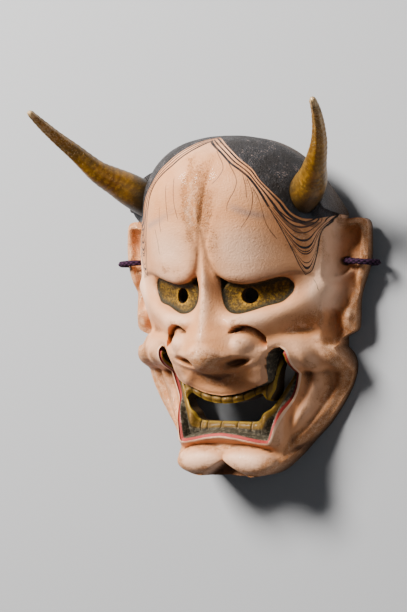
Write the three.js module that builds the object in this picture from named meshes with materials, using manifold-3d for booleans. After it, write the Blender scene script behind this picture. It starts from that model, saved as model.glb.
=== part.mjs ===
import * as THREE from 'three';
import { mergeVertices } from 'three/addons/utils/BufferGeometryUtils.js';
import Module from 'manifold-3d';

// driving sizes, millimetres
const faceHeight = 212;
const faceWidth = 170;
const faceRelief = 80;
const wallThickness = 8;
const pupilRadius = 4.9;
const rimAtTop = 25;
const rimAtChin = 16;
const earBackRise = 6.4;
const gridStep = 4.4;
const hollowStep = 8;
const hornSides = 18;
const hornSteps = 20;
const hornPlug = 8;
const fitGap = 0.3;
const cordRadius = 1.9;
const cordSides = 8;
const cordSteps = 78;
const cordHoleClearance = 1.1;

const wasm = await Module();
wasm.setup();

// the form is drawn on a face 170 wide, 212 high and 80 deep, and scaled to the sizes above
const drawnCentreY = 7.12;
const scaleX = faceWidth / 170;
const scaleY = faceHeight / 212;
const scaleZ = faceRelief / 80;
const place = (x, y, z) => [x * scaleX, (y - drawnCentreY) * scaleY, z * scaleZ];

// ---- small functions ----
const clamp = (v, a = 0, b = 1) => Math.min(b, Math.max(a, v));
const smooth = (v, a = 0, b = 1) => {
  const t = clamp((v - a) / (b - a));
  return t * t * (3 - 2 * t);
};
const bell = (v) => Math.exp(-v * v);
const smax = (a, b, k) => {
  const h = clamp(0.5 + (0.5 * (a - b)) / k);
  return b + (a - b) * h + k * h * (1 - h);
};
const smin = (a, b, k) => -smax(-a, -b, k);

// value at v on a smooth curve through [place, value] stations
function pick(v, stations) {
  const n = stations.length;
  const s = clamp(v, stations[0][0], stations[n - 1][0]);
  let i = 0;
  while (i < n - 2 && s > stations[i + 1][0]) i += 1;
  const slope = (j) => {
    const a = stations[Math.max(0, j - 1)];
    const b = stations[Math.min(n - 1, j + 1)];
    return (b[1] - a[1]) / (b[0] - a[0]);
  };
  const h = stations[i + 1][0] - stations[i][0];
  const t = (s - stations[i][0]) / h;
  const a = (2 * t ** 3 - 3 * t ** 2 + 1) * stations[i][1] + (t ** 3 - 2 * t ** 2 + t) * h * slope(i);
  const b = (3 * t ** 2 - 2 * t ** 3) * stations[i + 1][1] + (t ** 3 - t ** 2) * h * slope(i + 1);
  return a + b;
}

// flat curve through the points
function curve(points, steps = 3) {
  const path = new THREE.CatmullRomCurve3(points.map(([x, y]) => new THREE.Vector3(x, y, 0)), false, 'centripetal');
  return path.getPoints((points.length - 1) * steps).map((p) => [p.x, p.y]);
}

// distance to a line, the side of it (+ left of its run) and the share along it
function near(x, y, line) {
  let best = 1e9;
  let side = 0;
  let along = 0;
  for (let i = 0; i < line.length - 1; i += 1) {
    const [ax, ay] = line[i];
    const dx = line[i + 1][0] - ax;
    const dy = line[i + 1][1] - ay;
    const t = clamp(((x - ax) * dx + (y - ay) * dy) / (dx * dx + dy * dy));
    const ex = x - ax - t * dx;
    const ey = y - ay - t * dy;
    const d = Math.hypot(ex, ey);
    if (d < best - 1e-9) {
      best = d;
      side = Math.sign(dx * ey - dy * ex);
      along = (i + t) / (line.length - 1);
    }
  }
  return { d: best, signed: side * best, along };
}

// signed distance to a closed ring, + inside
function within(x, y, ring) {
  const closed = [...ring, ring[0]];
  let odd = false;
  for (let i = 0; i < ring.length; i += 1) {
    const [ax, ay] = closed[i];
    const [bx, by] = closed[i + 1];
    if (ay > y !== by > y && x < ((bx - ax) * (y - ay)) / (by - ay) + ax) odd = !odd;
  }
  const { d } = near(x, y, closed);
  return odd ? d : -d;
}

const bump = (x, y, cx, cy, rx, ry, turn = 0, power = 1) => {
  const u = ((x - cx) * Math.cos(turn) + (y - cy) * Math.sin(turn)) / rx;
  const v = (-(x - cx) * Math.sin(turn) + (y - cy) * Math.cos(turn)) / ry;
  return Math.exp(-((u * u + v * v) ** power));
};
const dome = (x, y, cx, cy, base, rx, ry, rise, turn = 0) => {
  const u = ((x - cx) * Math.cos(turn) + (y - cy) * Math.sin(turn)) / rx;
  const v = (-(x - cx) * Math.sin(turn) + (y - cy) * Math.cos(turn)) / ry;
  const q = u * u + v * v;
  return q < 1 ? base + rise * Math.sqrt(1 - q) : base - 8 * (Math.sqrt(q) - 1) * rise * 0.3;
};
// a soft ridge along a line: its width and rise run through the given stations
function ridge(x, y, line, width, rise) {
  const { d, along } = near(x, y, line);
  const w = pick(along, width);
  return pick(along, rise) * bell(d / w);
}

// ---- feature lines of the right half ----
const browLine = curve([[0, 47], [1.6, 38], [3.2, 27], [7.2, 19.2], [14, 14.6], [22, 13.2], [30, 14.4], [40, 17.2],
  [50, 20], [58, 19], [66.5, 17.2], [90, 14]]);
const lidLower = [[7.6, 17.5], [8, 7], [10, 0], [14, -3.9], [20, -4.8], [27, -2.8], [34, 0], [41.5, 2.2], [46, 5.4],
  [49, 10.2], [49.8, 15], [48.2, 19.2]];
const lidUpper = [[48.2, 19.2], [40, 17.2], [30, 14.4], [22, 13.2], [14, 14.6], [10, 16.8], [7.6, 17.5]];
const eyeRing = [...curve(lidLower).slice(0, -1), ...curve(lidUpper).slice(0, -1)];
const cheekFold = curve([[14, -17.2], [16.6, -14.4], [20.6, -12.2], [25.2, -11.8], [29.8, -13.8], [33.2, -18],
  [34.6, -23], [34.8, -28]]);
const upperLip = curve([[0, -55.8], [11.6, -54.2], [22.4, -50.4], [29.6, -47.4], [31.6, -44.2], [32.6, -38],
  [34.2, -31.5], [37.2, -26.6], [41.2, -25]]);
const lowerLip = curve([[41.2, -25], [44.6, -28.5], [45.2, -38], [43.2, -48], [40.4, -56.5], [36.4, -66], [33.6, -75],
  [31.4, -83.4], [28.6, -85], [20, -83.8], [10, -81.8], [0, -80.7]]);
const mouthHalf = [...upperLip.slice(0, -1), ...lowerLip];
const upperTeeth = curve([[0, -60.9], [8, -60.2], [16, -58], [22, -55], [25.2, -54.6], [29, -59]], 3);
const cornerGap = curve([[29, -59], [31.4, -52], [32.6, -44.5], [35, -36.4], [38.5, -31.6], [41.4, -29.6], [43, -32],
  [40.4, -41.5], [35.4, -52], [29.6, -62.6], [26.6, -65.4]], 3);
const lowerTeeth = curve([[26.6, -65.4], [24, -67.2], [20, -71.8], [10, -72.3], [0, -72.3]], 3);
const gapHalf = [...upperTeeth.slice(0, -1), ...cornerGap.slice(0, -1), ...lowerTeeth];
const headTop = curve([[0, 106.4], [14, 105.8], [28, 102.8], [40, 97.5], [49, 91], [58, 81], [64, 70], [68, 60]], 4);
const earEdge = curve([[69.2, 54.2], [80.2, 54.6], [84.6, 52], [85.3, 44], [85.2, 32], [84, 24], [80.5, 14], [78, 4.5],
  [77.6, -7.8], [76.5, -14.5], [70, -18.3], [66.5, -21]], 3);
const earInner = curve([[67.4, 62], [66.6, 44], [66.6, 30], [65.4, 19], [68, 12], [65, 4], [63, -6], [62, -15], [66, -24]]);
const jawEdge = curve([[69.5, -27], [72.6, -36], [71, -46], [65.5, -57.5], [56.5, -71], [46, -83.5], [37.8, -95],
  [30, -102.6], [21, -106], [10, -106.2], [0, -105.6]], 4);
const hollowHalf = curve([[0, 98], [18, 97], [34, 89], [46, 77], [53, 62], [56, 40], [56, 10], [56, -20], [56, -42],
  [48, -62], [35, -80], [22, -93], [10, -97], [0, -97]]);

const mirrored = (half) => [...half, ...half.slice(1, -1).reverse().map(([x, y]) => [-x, y])];
const outline = mirrored([...headTop, ...earEdge, ...jawEdge]);
const mouthRing = mirrored(mouthHalf);
const gapRing = mirrored(gapHalf);
const hollowRing = mirrored(hollowHalf);
const wingEdge = curve([[14.6, -18], [18, -16.2], [22.5, -15.8], [27, -18.4], [29.6, -22.6], [30.2, -27], [31, -30]]);
const foldRing = [...cheekFold, ...wingEdge.slice().reverse()];
const foreRing = [...browLine, [96, 20], [96, 122], [0, 122]];
const pupil = [23.4, 6.4];
const earHole = [71, 28];
const upperShare = upperLip.length / mouthHalf.length;

// ---- the carved front ----
const stationY = [-106, -96, -85, -70, -57, -42, -28, -14, 10, 30, 50, 70, 85, 95, 102, 107];
const midHeight = [40, 43.5, 41, 40, 43, 52, 61, 65.5, 66, 71, 77, 79, 75.5, 69, 58, 38];
const halfWidth = [36, 43, 52, 62, 70, 78, 83, 88, 92, 88, 80, 75, 67, 57, 46, 34];
const roundness = [3.2, 3.2, 3, 2.6, 1.6, 1.3, 1.35, 1.7, 1.75, 2.1, 2.6, 3, 3, 3, 2.8, 2.6];
const zip = (a, b) => a.map((v, i) => [v, b[i]]);
const midStations = zip(stationY, midHeight);
const widthStations = zip(stationY, halfWidth);
const roundStations = zip(stationY, roundness);

function baseForm(ax, y) {
  const share = clamp(ax / pick(y, widthStations), 0, 1.2);
  return pick(y, midStations) * (1 - share ** pick(y, roundStations));
}

const edgeStations = [[-106, 31], [-96, 25], [-82, 12], [-60, 8], [-20, 7], [20, 9], [50, 13], [62, 24], [76, 30], [106, 33]];

function noseForm(ax, y) {
  const top = pick(y, [[-46, 40], [-41, 62], [-34, 75], [-22, 75.5], [-10, 72], [6, 70], [16, 71.8], [25, 74], [34, 75],
    [44, 72], [56, 40]]);
  const slope = pick(y, [[-46, 0.9], [-20, 0.75], [-8, 1.05], [6, 1.35], [25, 2]]);
  const crown = pick(y, [[-46, 7], [-20, 4.5], [6, 2.2], [25, 1.6]]);
  return top - slope * (Math.hypot(ax, crown) - crown);
}

const cheekBone = curve([[10, -10], [22, -9], [34, -6.5], [46, -1], [57, 6], [66, 14], [72, 21]]);
const mouthFold = curve([[42, -19], [50, -23], [54, -32], [54, -44], [48.5, -56], [42.5, -70], [38, -82], [35, -92]]);
const jawGroove = curve([[60, -30], [61.5, -44], [56, -60], [47.5, -72], [39.5, -83], [34.5, -92], [32, -98]]);
const jawRidge = curve([[64, -26], [68, -34], [66.5, -44], [60, -57], [50.5, -71], [42, -83], [36, -94]]);
const earFold = curve([[66, 46], [74, 50], [81, 50.5], [82.5, 44], [82.2, 32], [80.5, 20], [76.5, 8], [75, -6]]);
const foreGroove = curve([[14, 90], [10.5, 76], [7, 62], [4, 50], [2.4, 40]]);

const foldFade = (along) => smooth(along, 0, 0.15) * (1 - smooth(along, 0.75, 1));

function lowerForm(x, y) {
  const ax = Math.abs(x);
  const base = baseForm(ax, y);
  let low = base - 4.5 * bump(ax, y, 28, 8, 27, 13, 0.12, 1.6);
  low += ridge(ax, y, cheekBone, [[0, 7], [0.4, 8], [1, 6]], [[0, 2], [0.2, 4], [0.8, 4], [1, 3.5]]);
  low -= 4.5 * bump(ax, y, 54, -15, 12, 8, 0.45);

  // cheek edge above the groove of the nostril
  const fold = near(ax, y, cheekFold);
  low += 2.2 * foldFade(fold.along) * bell(fold.d / 5);

  // nose
  const nose = noseForm(ax, y);
  low = smax(low, nose, 3);
  const tip = dome(ax, y, 0, -30.5, 57, 14, 12, 21);
  const wing = dome(ax, y, 18, -24, 48, 12.6, 10.6, 18.5, 0.12);
  low = smax(low, tip, 3.5);
  low = smax(low, wing, 1.6);

  // upper lip
  let lip = pick(y, [[-60, 47.2], [-55, 47], [-50, 48.5], [-44, 53], [-38, 57.5], [-30, 60]]);
  lip -= pick(ax, [[0, 0], [8, 0.2], [20, 2], [31, 5.6], [36, 11], [42, 22]]);
  lip += ridge(ax, y, [[12, -38], [20, -45], [26, -49]], [[0, 3], [1, 3]], [[0, 1], [1, 1.2]]);
  lip -= ridge(ax, y, [[0, -40], [0, -47]], [[0, 3.2], [1, 3.2]], [[0, 2.2], [1, 0.6]]);
  const lipShare = smooth(-y, 31, 37) * (1 - smooth(ax, 34, 41));
  low = low * (1 - lipShare) + smax(lip, nose, 2) * lipShare;
  low = smax(low, tip, 2);
  low = smax(low, wing, 1);
  low -= 5.5 * bump(ax, y, 17.5, -34.2, 6.6, 2.2, 0.15);

  // folds round the mouth
  const mouth = near(ax, y, mouthHalf);
  const outside = -within(x, y, mouthRing);
  const lowerSide = smooth(mouth.along, 0.46, 0.6);
  low += lowerSide * (1.4 * bell((outside - 0.4) / 1.8) - 2.2 * bell((outside - 5) / 3.2));
  low += ridge(ax, y, mouthFold, [[0, 4.5], [0.5, 4.5], [1, 3.4]], [[0, 1], [0.3, 2.2], [0.6, 3.4], [1, 2.6]]);
  low -= ridge(ax, y, jawGroove, [[0, 4], [0.3, 3], [1, 2.4]], [[0, 1], [0.3, 2.6], [0.8, 3.2], [1, 1.5]]);
  low += ridge(ax, y, jawRidge, [[0, 4.2], [1, 3]], [[0, 1], [0.3, 2.8], [0.8, 3], [1, 2.4]]);

  // chin: two lobes with a cleft
  low -= 3 * bump(ax, y, 12, -88, 22, 3.4, -0.05);
  if (y < -80) {
    const lobe = dome(ax, y, 15.5, -96, 37.5, 19.5, 9.6, 11.5, -0.1);
    low = smax(low - 4 * smooth(-y, 88, 95), lobe, 1.4);
  }
  return low;
}

// horn seats, the face edge and the ears
function withSides(z0, x, y) {
  const ax = Math.abs(x);
  let z = smax(z0, dome(ax, y, 58, 69, 27, 18.5, 18.5, 21), 3.5);
  z = smax(z, pick(y, edgeStations), 5);
  if (ax > 55 && y < 60 && y > -26) {
    let ear = 13.5;
    ear += ridge(ax, y, earFold, [[0, 2.6], [1, 2.4]], [[0, 3], [0.2, 4], [0.5, 2.8], [1, 2]]);
    ear -= 3 * bump(ax, y, 76, 42, 5, 6.5, -0.5);
    ear -= 2.8 * bump(ax, y, 76.5, 12, 3.2, 6.5, 0.2);
    ear += 4.5 * bump(ax, y, 70, -6, 6.5, 9, 0.2, 1.4);
    const rest = near(ax, y, earInner);
    const share = smooth(rest.signed, -2.4, 1.2) * smooth(60 - y, 0, 4) * smooth(y + 26, 0, 4);
    z = z * (1 - share) + Math.min(ear, z + 6) * share;
  }
  return z;
}

function cheekForm(x, y) {
  const ax = Math.abs(x);
  const eye = within(ax, y, eyeRing);
  const mouth = near(ax, y, mouthHalf);
  const upper = 1 - smooth(mouth.along, upperShare - 0.05, upperShare + 0.05);
  const z = lowerForm(x, y) - 1.2 * bell(eye / 1.6) - 1.4 * upper * bell(mouth.d / 1.6);
  return withSides(z, x, y) - 5 * smooth(near(ax, y, browLine).signed, 0.5, 6);
}

// forehead and brows stand over the rest with a rolled edge
function foreheadForm(x, y) {
  const ax = Math.abs(x);
  const brow = near(ax, y, browLine);
  let z = baseForm(ax, y) + 2.4 * bump(ax, y, 27, 30, 22, 22, 0, 1.3);
  z += ridge(ax, y, [[0, 98], [0, 78], [0, 60], [0, 48]], [[0, 7], [0.5, 5.5], [1, 3]], [[0, 0.4], [0.4, 2.4], [0.8, 2], [1, 0.4]]);
  z -= ridge(ax, y, foreGroove, [[0, 4.5], [1, 2.6]], [[0, 0.2], [0.4, 1.8], [0.8, 2.6], [1, 1.6]]);
  const roll = pick(brow.along, [[0, 0.6], [0.1, 2.4], [0.2, 4.2], [0.45, 4.2], [0.7, 2.6], [0.85, 1.2], [1, 0.3]]);
  const q = clamp(brow.signed / 6.5);
  z += roll * (Math.sqrt(clamp(1 - (1 - q) ** 2)) - 1) + 0.3 * roll * bell(brow.signed / 14);
  return withSides(z, x, y);
}

// sunk surfaces: eyeballs, nostril grooves, gums and teeth
const eyeForm = (x, y) => {
  const ax = Math.abs(x);
  return Math.min(63.4 - 0.021 * (ax - 20) ** 2 - 0.03 * (y - 6 - 0.12 * (ax - 23)) ** 2, lowerForm(x, y) - 2);
};

const foldForm = (x, y) => {
  const fold = near(Math.abs(x), y, cheekFold);
  return lowerForm(x, y) - 6.5 * foldFade(fold.along) * bell(fold.d / 3.4) + 0.05;
};

function teethForm(x, y) {
  const ax = Math.abs(x);
  const mouth = near(ax, y, mouthHalf);
  const upper = 1 - smooth(mouth.along, upperShare - 0.05, upperShare + 0.05);
  const gap = Math.max(0.01, -within(x, y, gapRing));
  const u = mouth.d / (mouth.d + gap);
  const low = pick(ax, [[0, 36.5], [20, 36.3], [28, 36], [34, 31], [40, 26], [44, 24.2], [48, 23.5]]);
  const up = pick(ax, [[0, 42.5], [20, 40.5], [27, 38.5], [32, 35], [36, 31.5], [40, 28], [46, 24]]);
  const lowTeeth = low - 2 + 2.2 * Math.sin(clamp((u - 0.2) / 0.8) * Math.PI) ** 0.6;
  const upTeeth = up - 0.5 + 1.6 * Math.sin(clamp(u) * Math.PI);
  return Math.min(lowTeeth * (1 - upper) + upTeeth * upper, lowerForm(x, y) - 0.8);
}

// ---- the hollow back and the rim ----
const rimStations = [[-106, rimAtChin], [-96, rimAtChin * 0.66], [-84, rimAtChin * 0.2], [-74, 0], [46, 0],
  [56, rimAtTop * 0.16], [70, rimAtTop * 0.55], [88, rimAtTop * 0.9], [107, rimAtTop]];

function hollowForm(x, y) {
  const ax = Math.abs(x);
  const inner = clamp(ax / (pick(y, widthStations) - wallThickness), 0, 1.2);
  const bowl = (pick(y, midStations) - wallThickness - 4) * (1 - inner ** (pick(y, roundStations) * 1.05));
  const lipCorner = 4 * bump(ax, y, 42, -36, 11, 20, 0.1);
  return smin(bowl - lipCorner, pick(y, rimStations) + 2.4 * within(x, y, hollowRing), 7);
}

function rimForm(x, y) {
  const ear = earBackRise * smooth(Math.abs(x), 66, 69) * smooth(y, -30, -24) * smooth(60 - y, 0, 4);
  const arch = earBackRise * (1 - smooth(Math.abs(y - earHole[1]), 8, 15));
  return Math.max(y > -74 && y < 46 ? 0 : pick(y, rimStations), ear, arch);
}

// ---- building bodies ----
function solidOf(geometry) {
  const bare = geometry.index ? geometry.toNonIndexed() : geometry.clone();
  bare.deleteAttribute('normal');
  bare.deleteAttribute('uv');
  const joined = mergeVertices(bare, 1e-4);
  return new wasm.Manifold(new wasm.Mesh({
    numProp: 3,
    vertProperties: new Float32Array(joined.attributes.position.array),
    triVerts: new Uint32Array(joined.index.array),
  }));
}

// closed block between two height functions over a grid
function fieldBlock(top, bottom, step, [x0, x1, y0, y1]) {
  const nx = Math.ceil((x1 - x0) / step) + 1;
  const ny = Math.ceil((y1 - y0) / step) + 1;
  const positions = [];
  for (const form of [top, bottom]) {
    for (let j = 0; j < ny; j += 1) {
      for (let i = 0; i < nx; i += 1) {
        const x = x0 + ((x1 - x0) * i) / (nx - 1);
        const y = y0 + ((y1 - y0) * j) / (ny - 1);
        positions.push(...place(x, y, form(x, y)));
      }
    }
  }
  const index = [];
  const at = (i, j, k) => k * nx * ny + j * nx + i;
  const quad = (a, b, c, d) => index.push(a, b, c, a, c, d);
  for (let j = 0; j < ny - 1; j += 1) {
    for (let i = 0; i < nx - 1; i += 1) {
      const a = at(i, j, 0);
      const b = at(i + 1, j, 0);
      const c = at(i + 1, j + 1, 0);
      const d = at(i, j + 1, 0);
      const drop = (p, q) => Math.abs(positions[3 * p + 2] - positions[3 * q + 2]);
      if (drop(a, c) <= drop(b, d)) quad(a, b, c, d);
      else quad(b, c, d, a);
      quad(at(i, j, 1), at(i, j + 1, 1), at(i + 1, j + 1, 1), at(i + 1, j, 1));
    }
  }
  for (let i = 0; i < nx - 1; i += 1) {
    quad(at(i, 0, 1), at(i + 1, 0, 1), at(i + 1, 0, 0), at(i, 0, 0));
    quad(at(i + 1, ny - 1, 1), at(i, ny - 1, 1), at(i, ny - 1, 0), at(i + 1, ny - 1, 0));
  }
  for (let j = 0; j < ny - 1; j += 1) {
    quad(at(0, j + 1, 1), at(0, j, 1), at(0, j, 0), at(0, j + 1, 0));
    quad(at(nx - 1, j, 1), at(nx - 1, j + 1, 1), at(nx - 1, j + 1, 0), at(nx - 1, j, 0));
  }
  const geometry = new THREE.BufferGeometry();
  geometry.setAttribute('position', new THREE.Float32BufferAttribute(positions, 3));
  geometry.setIndex(index);
  return solidOf(geometry);
}

function prism(ring, from, to) {
  const shape = new THREE.Shape(ring.map(([x, y]) => {
    const [px, py] = place(x, y, 0);
    return new THREE.Vector2(px, py);
  }));
  const geometry = new THREE.ExtrudeGeometry(shape, { depth: to - from, bevelEnabled: false, steps: 1 });
  geometry.translate(0, 0, from);
  return solidOf(geometry);
}

function circle(cx, cy, radius, sides = 20) {
  const ring = [];
  for (let i = 0; i < sides; i += 1) {
    const a = (i / sides) * Math.PI * 2;
    ring.push([cx + radius * Math.cos(a), cy + radius * Math.sin(a)]);
  }
  return ring;
}

// closed round bar along a path of points, its radius given at each share of the way
function bar(points, radiusAt, sides, steps) {
  const path = new THREE.CatmullRomCurve3(points.map((p) => new THREE.Vector3(...p)), false, 'centripetal');
  const frames = path.computeFrenetFrames(steps, false);
  const positions = [];
  const index = [];
  for (let i = 0; i <= steps; i += 1) {
    const t = i / steps;
    const p = path.getPointAt(t);
    const r = radiusAt(t);
    for (let k = 0; k < sides; k += 1) {
      const a = (k / sides) * Math.PI * 2;
      const v = p.clone()
        .addScaledVector(frames.normals[i], Math.cos(a) * r)
        .addScaledVector(frames.binormals[i], Math.sin(a) * r);
      positions.push(v.x, v.y, v.z);
    }
  }
  const first = path.getPointAt(0);
  const last = path.getPointAt(1).addScaledVector(frames.tangents[steps], radiusAt(1) * 0.6);
  positions.push(first.x, first.y, first.z, last.x, last.y, last.z);
  const low = (steps + 1) * sides;
  for (let k = 0; k < sides; k += 1) {
    const n = (k + 1) % sides;
    for (let i = 0; i < steps; i += 1) {
      const a = i * sides + k;
      const b = i * sides + n;
      index.push(a, b, b + sides, a, b + sides, a + sides);
    }
    index.push(low, n, k);
    index.push(low + 1, steps * sides + k, steps * sides + n);
  }
  const geometry = new THREE.BufferGeometry();
  geometry.setAttribute('position', new THREE.Float32BufferAttribute(positions, 3));
  geometry.setIndex(index);
  return geometry;
}

function geometryOf(solid) {
  const mesh = solid.getMesh();
  const geometry = new THREE.BufferGeometry();
  const flat = new Float32Array(mesh.numVert * 3);
  for (let i = 0; i < mesh.numVert; i += 1) {
    for (let k = 0; k < 3; k += 1) flat[3 * i + k] = mesh.vertProperties[i * mesh.numProp + k];
  }
  geometry.setAttribute('position', new THREE.BufferAttribute(flat, 3));
  geometry.setIndex(new THREE.BufferAttribute(new Uint32Array(mesh.triVerts), 1));
  const shown = geometry.toNonIndexed();
  shown.computeVertexNormals();
  return shown;
}

// ---- horns: curved, tapering, each on a plug set in its seat ----
const hornLine = [[57, 69, 45], [67, 77, 56], [75, 84, 69], [84, 96, 83], [90, 105, 96], [94, 113, 108], [96, 119, 117.5]];
const hornRadius = [[0, 10.8], [0.1, 10.3], [0.22, 8.6], [0.45, 5.9], [0.7, 4], [0.85, 3.1], [1, 1.9]];
function hornPath(side, depth) {
  const [a, b] = hornLine;
  const away = new THREE.Vector3(a[0] - b[0], a[1] - b[1], a[2] - b[2]).normalize().multiplyScalar(depth);
  const root = [a[0] + away.x, a[1] + away.y, a[2] + away.z];
  return [root, ...hornLine].map(([x, y, z]) => place(side * x, y, z));
}
const hornBar = (side, grow) => bar(hornPath(side, hornPlug + grow), (t) => {
  const rooted = clamp((t - 0.08) / 0.92);
  return pick(rooted, hornRadius) + grow;
}, hornSides, hornSteps);

// ---- carrying cord: from one ear hole round the ear, behind the mask, to the other ----
const cordHalf = [[0, 60, 2.4], [22, 56, 2.4], [42, 44, 2.4], [54, 33.4, 2.3], [66, 28.6, 2.2], [75, 27.4, 2.2],
  [80.9, 27, 2.5], [85.7, 27, 3.8], [89.1, 27, 7.2], [90.4, 27, 12], [89.1, 27.1, 16.8], [85.7, 27.3, 20.2],
  [79.5, 27.7, 21.5], [75.2, 27.9, 20.7], [72.2, 28, 17.8], [71, 28, 13.9], [71, 28, 7.4]];
const cordPath = [...cordHalf.slice(1).reverse().map(([x, y, z]) => [-x, y, z]), ...cordHalf]
  .map(([x, y, z]) => place(x, y, z));
const section = new THREE.Shape(circle(0, 0, cordRadius, cordSides).map(([x, y]) => new THREE.Vector2(x, y)));
const cordGeometry = () => new THREE.ExtrudeGeometry(section, {
  steps: cordSteps,
  bevelEnabled: false,
  extrudePath: new THREE.CatmullRomCurve3(cordPath.map((p) => new THREE.Vector3(...p)), false, 'centripetal'),
});

const flat = (z) => () => z;
const pocket = (ring, form, box, step) => fieldBlock(flat(140), form, step, box).intersect(prism(ring, -40, 150));

function carvedFace() {
  const box = [-91, 91, -112, 113];
  const half = 97;
  let face = fieldBlock(cheekForm, flat(-12), gridStep, box);
  const eyes = [[6, 52, -7, 21]];
  for (const side of [-1, 1]) {
    const turned = (ring) => ring.map(([x, y]) => [side * x, y]);
    const spread = ([a, b, c, d]) => (side > 0 ? [a, b, c, d] : [-b, -a, c, d]);
    face = face.subtract(pocket(turned(eyeRing), eyeForm, spread(eyes[0]), 4));
    face = face.subtract(pocket(turned(foldRing), foldForm, spread([12, 38, -32, -10]), 2.4));
    face = face.add(fieldBlock(foreheadForm, flat(-12), gridStep, side > 0 ? [0, 91, 10, 113] : [-91, 0, 10, 113])
      .intersect(prism(turned(foreRing), -40, 150)));
  }
  face = face.subtract(pocket(mouthRing, teethForm, [-47, 47, -88, -23], 4.4));
  face = face.intersect(prism(outline, -8, 140));
  face = face.subtract(fieldBlock(rimForm, flat(-30), 5, [-half, half, -118, 118]));
  face = face.subtract(fieldBlock(hollowForm, flat(-31), hollowStep, [-72, 72, -104, 106]));
  face = face.subtract(prism(gapRing, -20, 140));
  for (const side of [-1, 1]) {
    face = face.subtract(prism(circle(side * pupil[0], pupil[1], pupilRadius), -20, 140));
    face = face.subtract(prism(circle(side * earHole[0], earHole[1], cordRadius + cordHoleClearance, 14), -20, 140));
    face = face.subtract(solidOf(hornBar(side, fitGap)));
  }
  return geometryOf(face);
}

const paint = (color, roughness) => new THREE.MeshStandardMaterial({ color, roughness, metalness: 0 });
const group = new THREE.Group();
group.name = 'hannya_mask';
function add(name, geometry, material) {
  const mesh = new THREE.Mesh(geometry, material);
  mesh.name = name;
  group.add(mesh);
}
add('mask_face', carvedFace(), paint(0xe2b598, 0.55));
add('horn_left', geometryOf(solidOf(hornBar(-1, 0))), paint(0xb08a3c, 0.5));
add('horn_right', geometryOf(solidOf(hornBar(1, 0))), paint(0xb08a3c, 0.5));
add('carrying_cord', geometryOf(solidOf(cordGeometry())), paint(0x2a1c2e, 0.9));

export default group;
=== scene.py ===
import math

import bmesh
import bpy
import numpy as np
from mathutils import Matrix, Vector


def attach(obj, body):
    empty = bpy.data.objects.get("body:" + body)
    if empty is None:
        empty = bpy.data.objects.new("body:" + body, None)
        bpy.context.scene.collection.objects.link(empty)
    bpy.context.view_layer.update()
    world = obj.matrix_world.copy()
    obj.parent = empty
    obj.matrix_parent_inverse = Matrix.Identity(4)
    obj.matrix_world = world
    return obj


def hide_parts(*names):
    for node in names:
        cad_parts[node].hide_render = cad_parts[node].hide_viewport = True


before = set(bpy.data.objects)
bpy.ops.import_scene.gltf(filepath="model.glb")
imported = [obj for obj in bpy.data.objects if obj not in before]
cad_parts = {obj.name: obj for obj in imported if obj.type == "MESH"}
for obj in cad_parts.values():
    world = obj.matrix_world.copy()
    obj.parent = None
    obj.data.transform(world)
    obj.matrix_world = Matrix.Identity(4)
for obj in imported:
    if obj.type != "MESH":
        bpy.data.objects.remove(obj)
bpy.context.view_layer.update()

photoView = {"lens": 130.8, "turn": 28.0, "distance": 1.389, "side": -0.014, "drop": 0.00712, "height": 0.040}


def addCamera():
    a = math.radians(photoView["turn"])
    back = Vector((math.sin(a), 0, math.cos(a)))
    right = Vector((math.cos(a), 0, -math.sin(a)))
    up = Vector((0, 1, 0))
    data = bpy.data.cameras.new("camera")
    data.lens = photoView["lens"]
    data.clip_start = 0.05
    camera = bpy.data.objects.new("camera", data)
    bpy.context.scene.collection.objects.link(camera)
    turn = Matrix((right, up, back)).transposed().to_4x4()
    place = back * photoView["distance"] + right * photoView["side"] - up * photoView["drop"]
    place += Vector((0, 0, photoView["height"]))
    camera.matrix_world = Matrix.Translation(place) @ turn
    bpy.context.scene.camera = camera


addCamera()
print("camera set")

drawnCentreY = 7.12


def deselectAll():
    if bpy.context.object and bpy.context.object.mode != "OBJECT":
        bpy.ops.object.mode_set(mode="OBJECT")
    bpy.ops.object.select_all(action="DESELECT")


def makeActive(piece):
    deselectAll()
    piece.select_set(True)
    bpy.context.view_layer.objects.active = piece


def newPiece(name, operator, **options):
    deselectAll()
    operator(location=(0, 0, 0), **options)
    piece = bpy.context.object
    piece.name = name
    piece.data.name = name
    return piece


# one edit-mode operator on the whole piece
def editWhole(piece, operator, **options):
    makeActive(piece)
    bpy.ops.object.mode_set(mode="EDIT")
    bpy.ops.mesh.select_all(action="SELECT")
    operator(**options)
    bpy.ops.object.mode_set(mode="OBJECT")


def turnOutward(piece):
    editWhole(piece, bpy.ops.mesh.normals_make_consistent, inside=False)


def applyModifier(piece, modifier):
    makeActive(piece)
    bpy.ops.object.modifier_apply(modifier=modifier.name)


def getPoints(piece):
    co = np.empty(len(piece.data.vertices) * 3, np.float32)
    piece.data.vertices.foreach_get("co", co)
    return co.reshape(-1, 3).astype(float)


def setPoints(piece, points):
    piece.data.vertices.foreach_set("co", np.asarray(points, np.float32).ravel())
    piece.data.update()


def setField(piece, name, values):
    layer = piece.data.attributes.new(name, "FLOAT", "POINT")
    layer.data.foreach_set("value", np.asarray(values, np.float32))


def clamp(v):
    return np.clip(v, 0, 1)


def smooth(v, low=0.0, high=1.0):
    t = clamp((v - low) / (high - low))
    return t * t * (3 - 2 * t)


def bell(v):
    return np.exp(-v * v)


def smoothMax(a, b, k):
    h = clamp(0.5 + 0.5 * (a - b) / k)
    return b + (a - b) * h + k * h * (1 - h)


def smoothMin(a, b, k):
    return -smoothMax(-a, -b, k)


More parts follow.
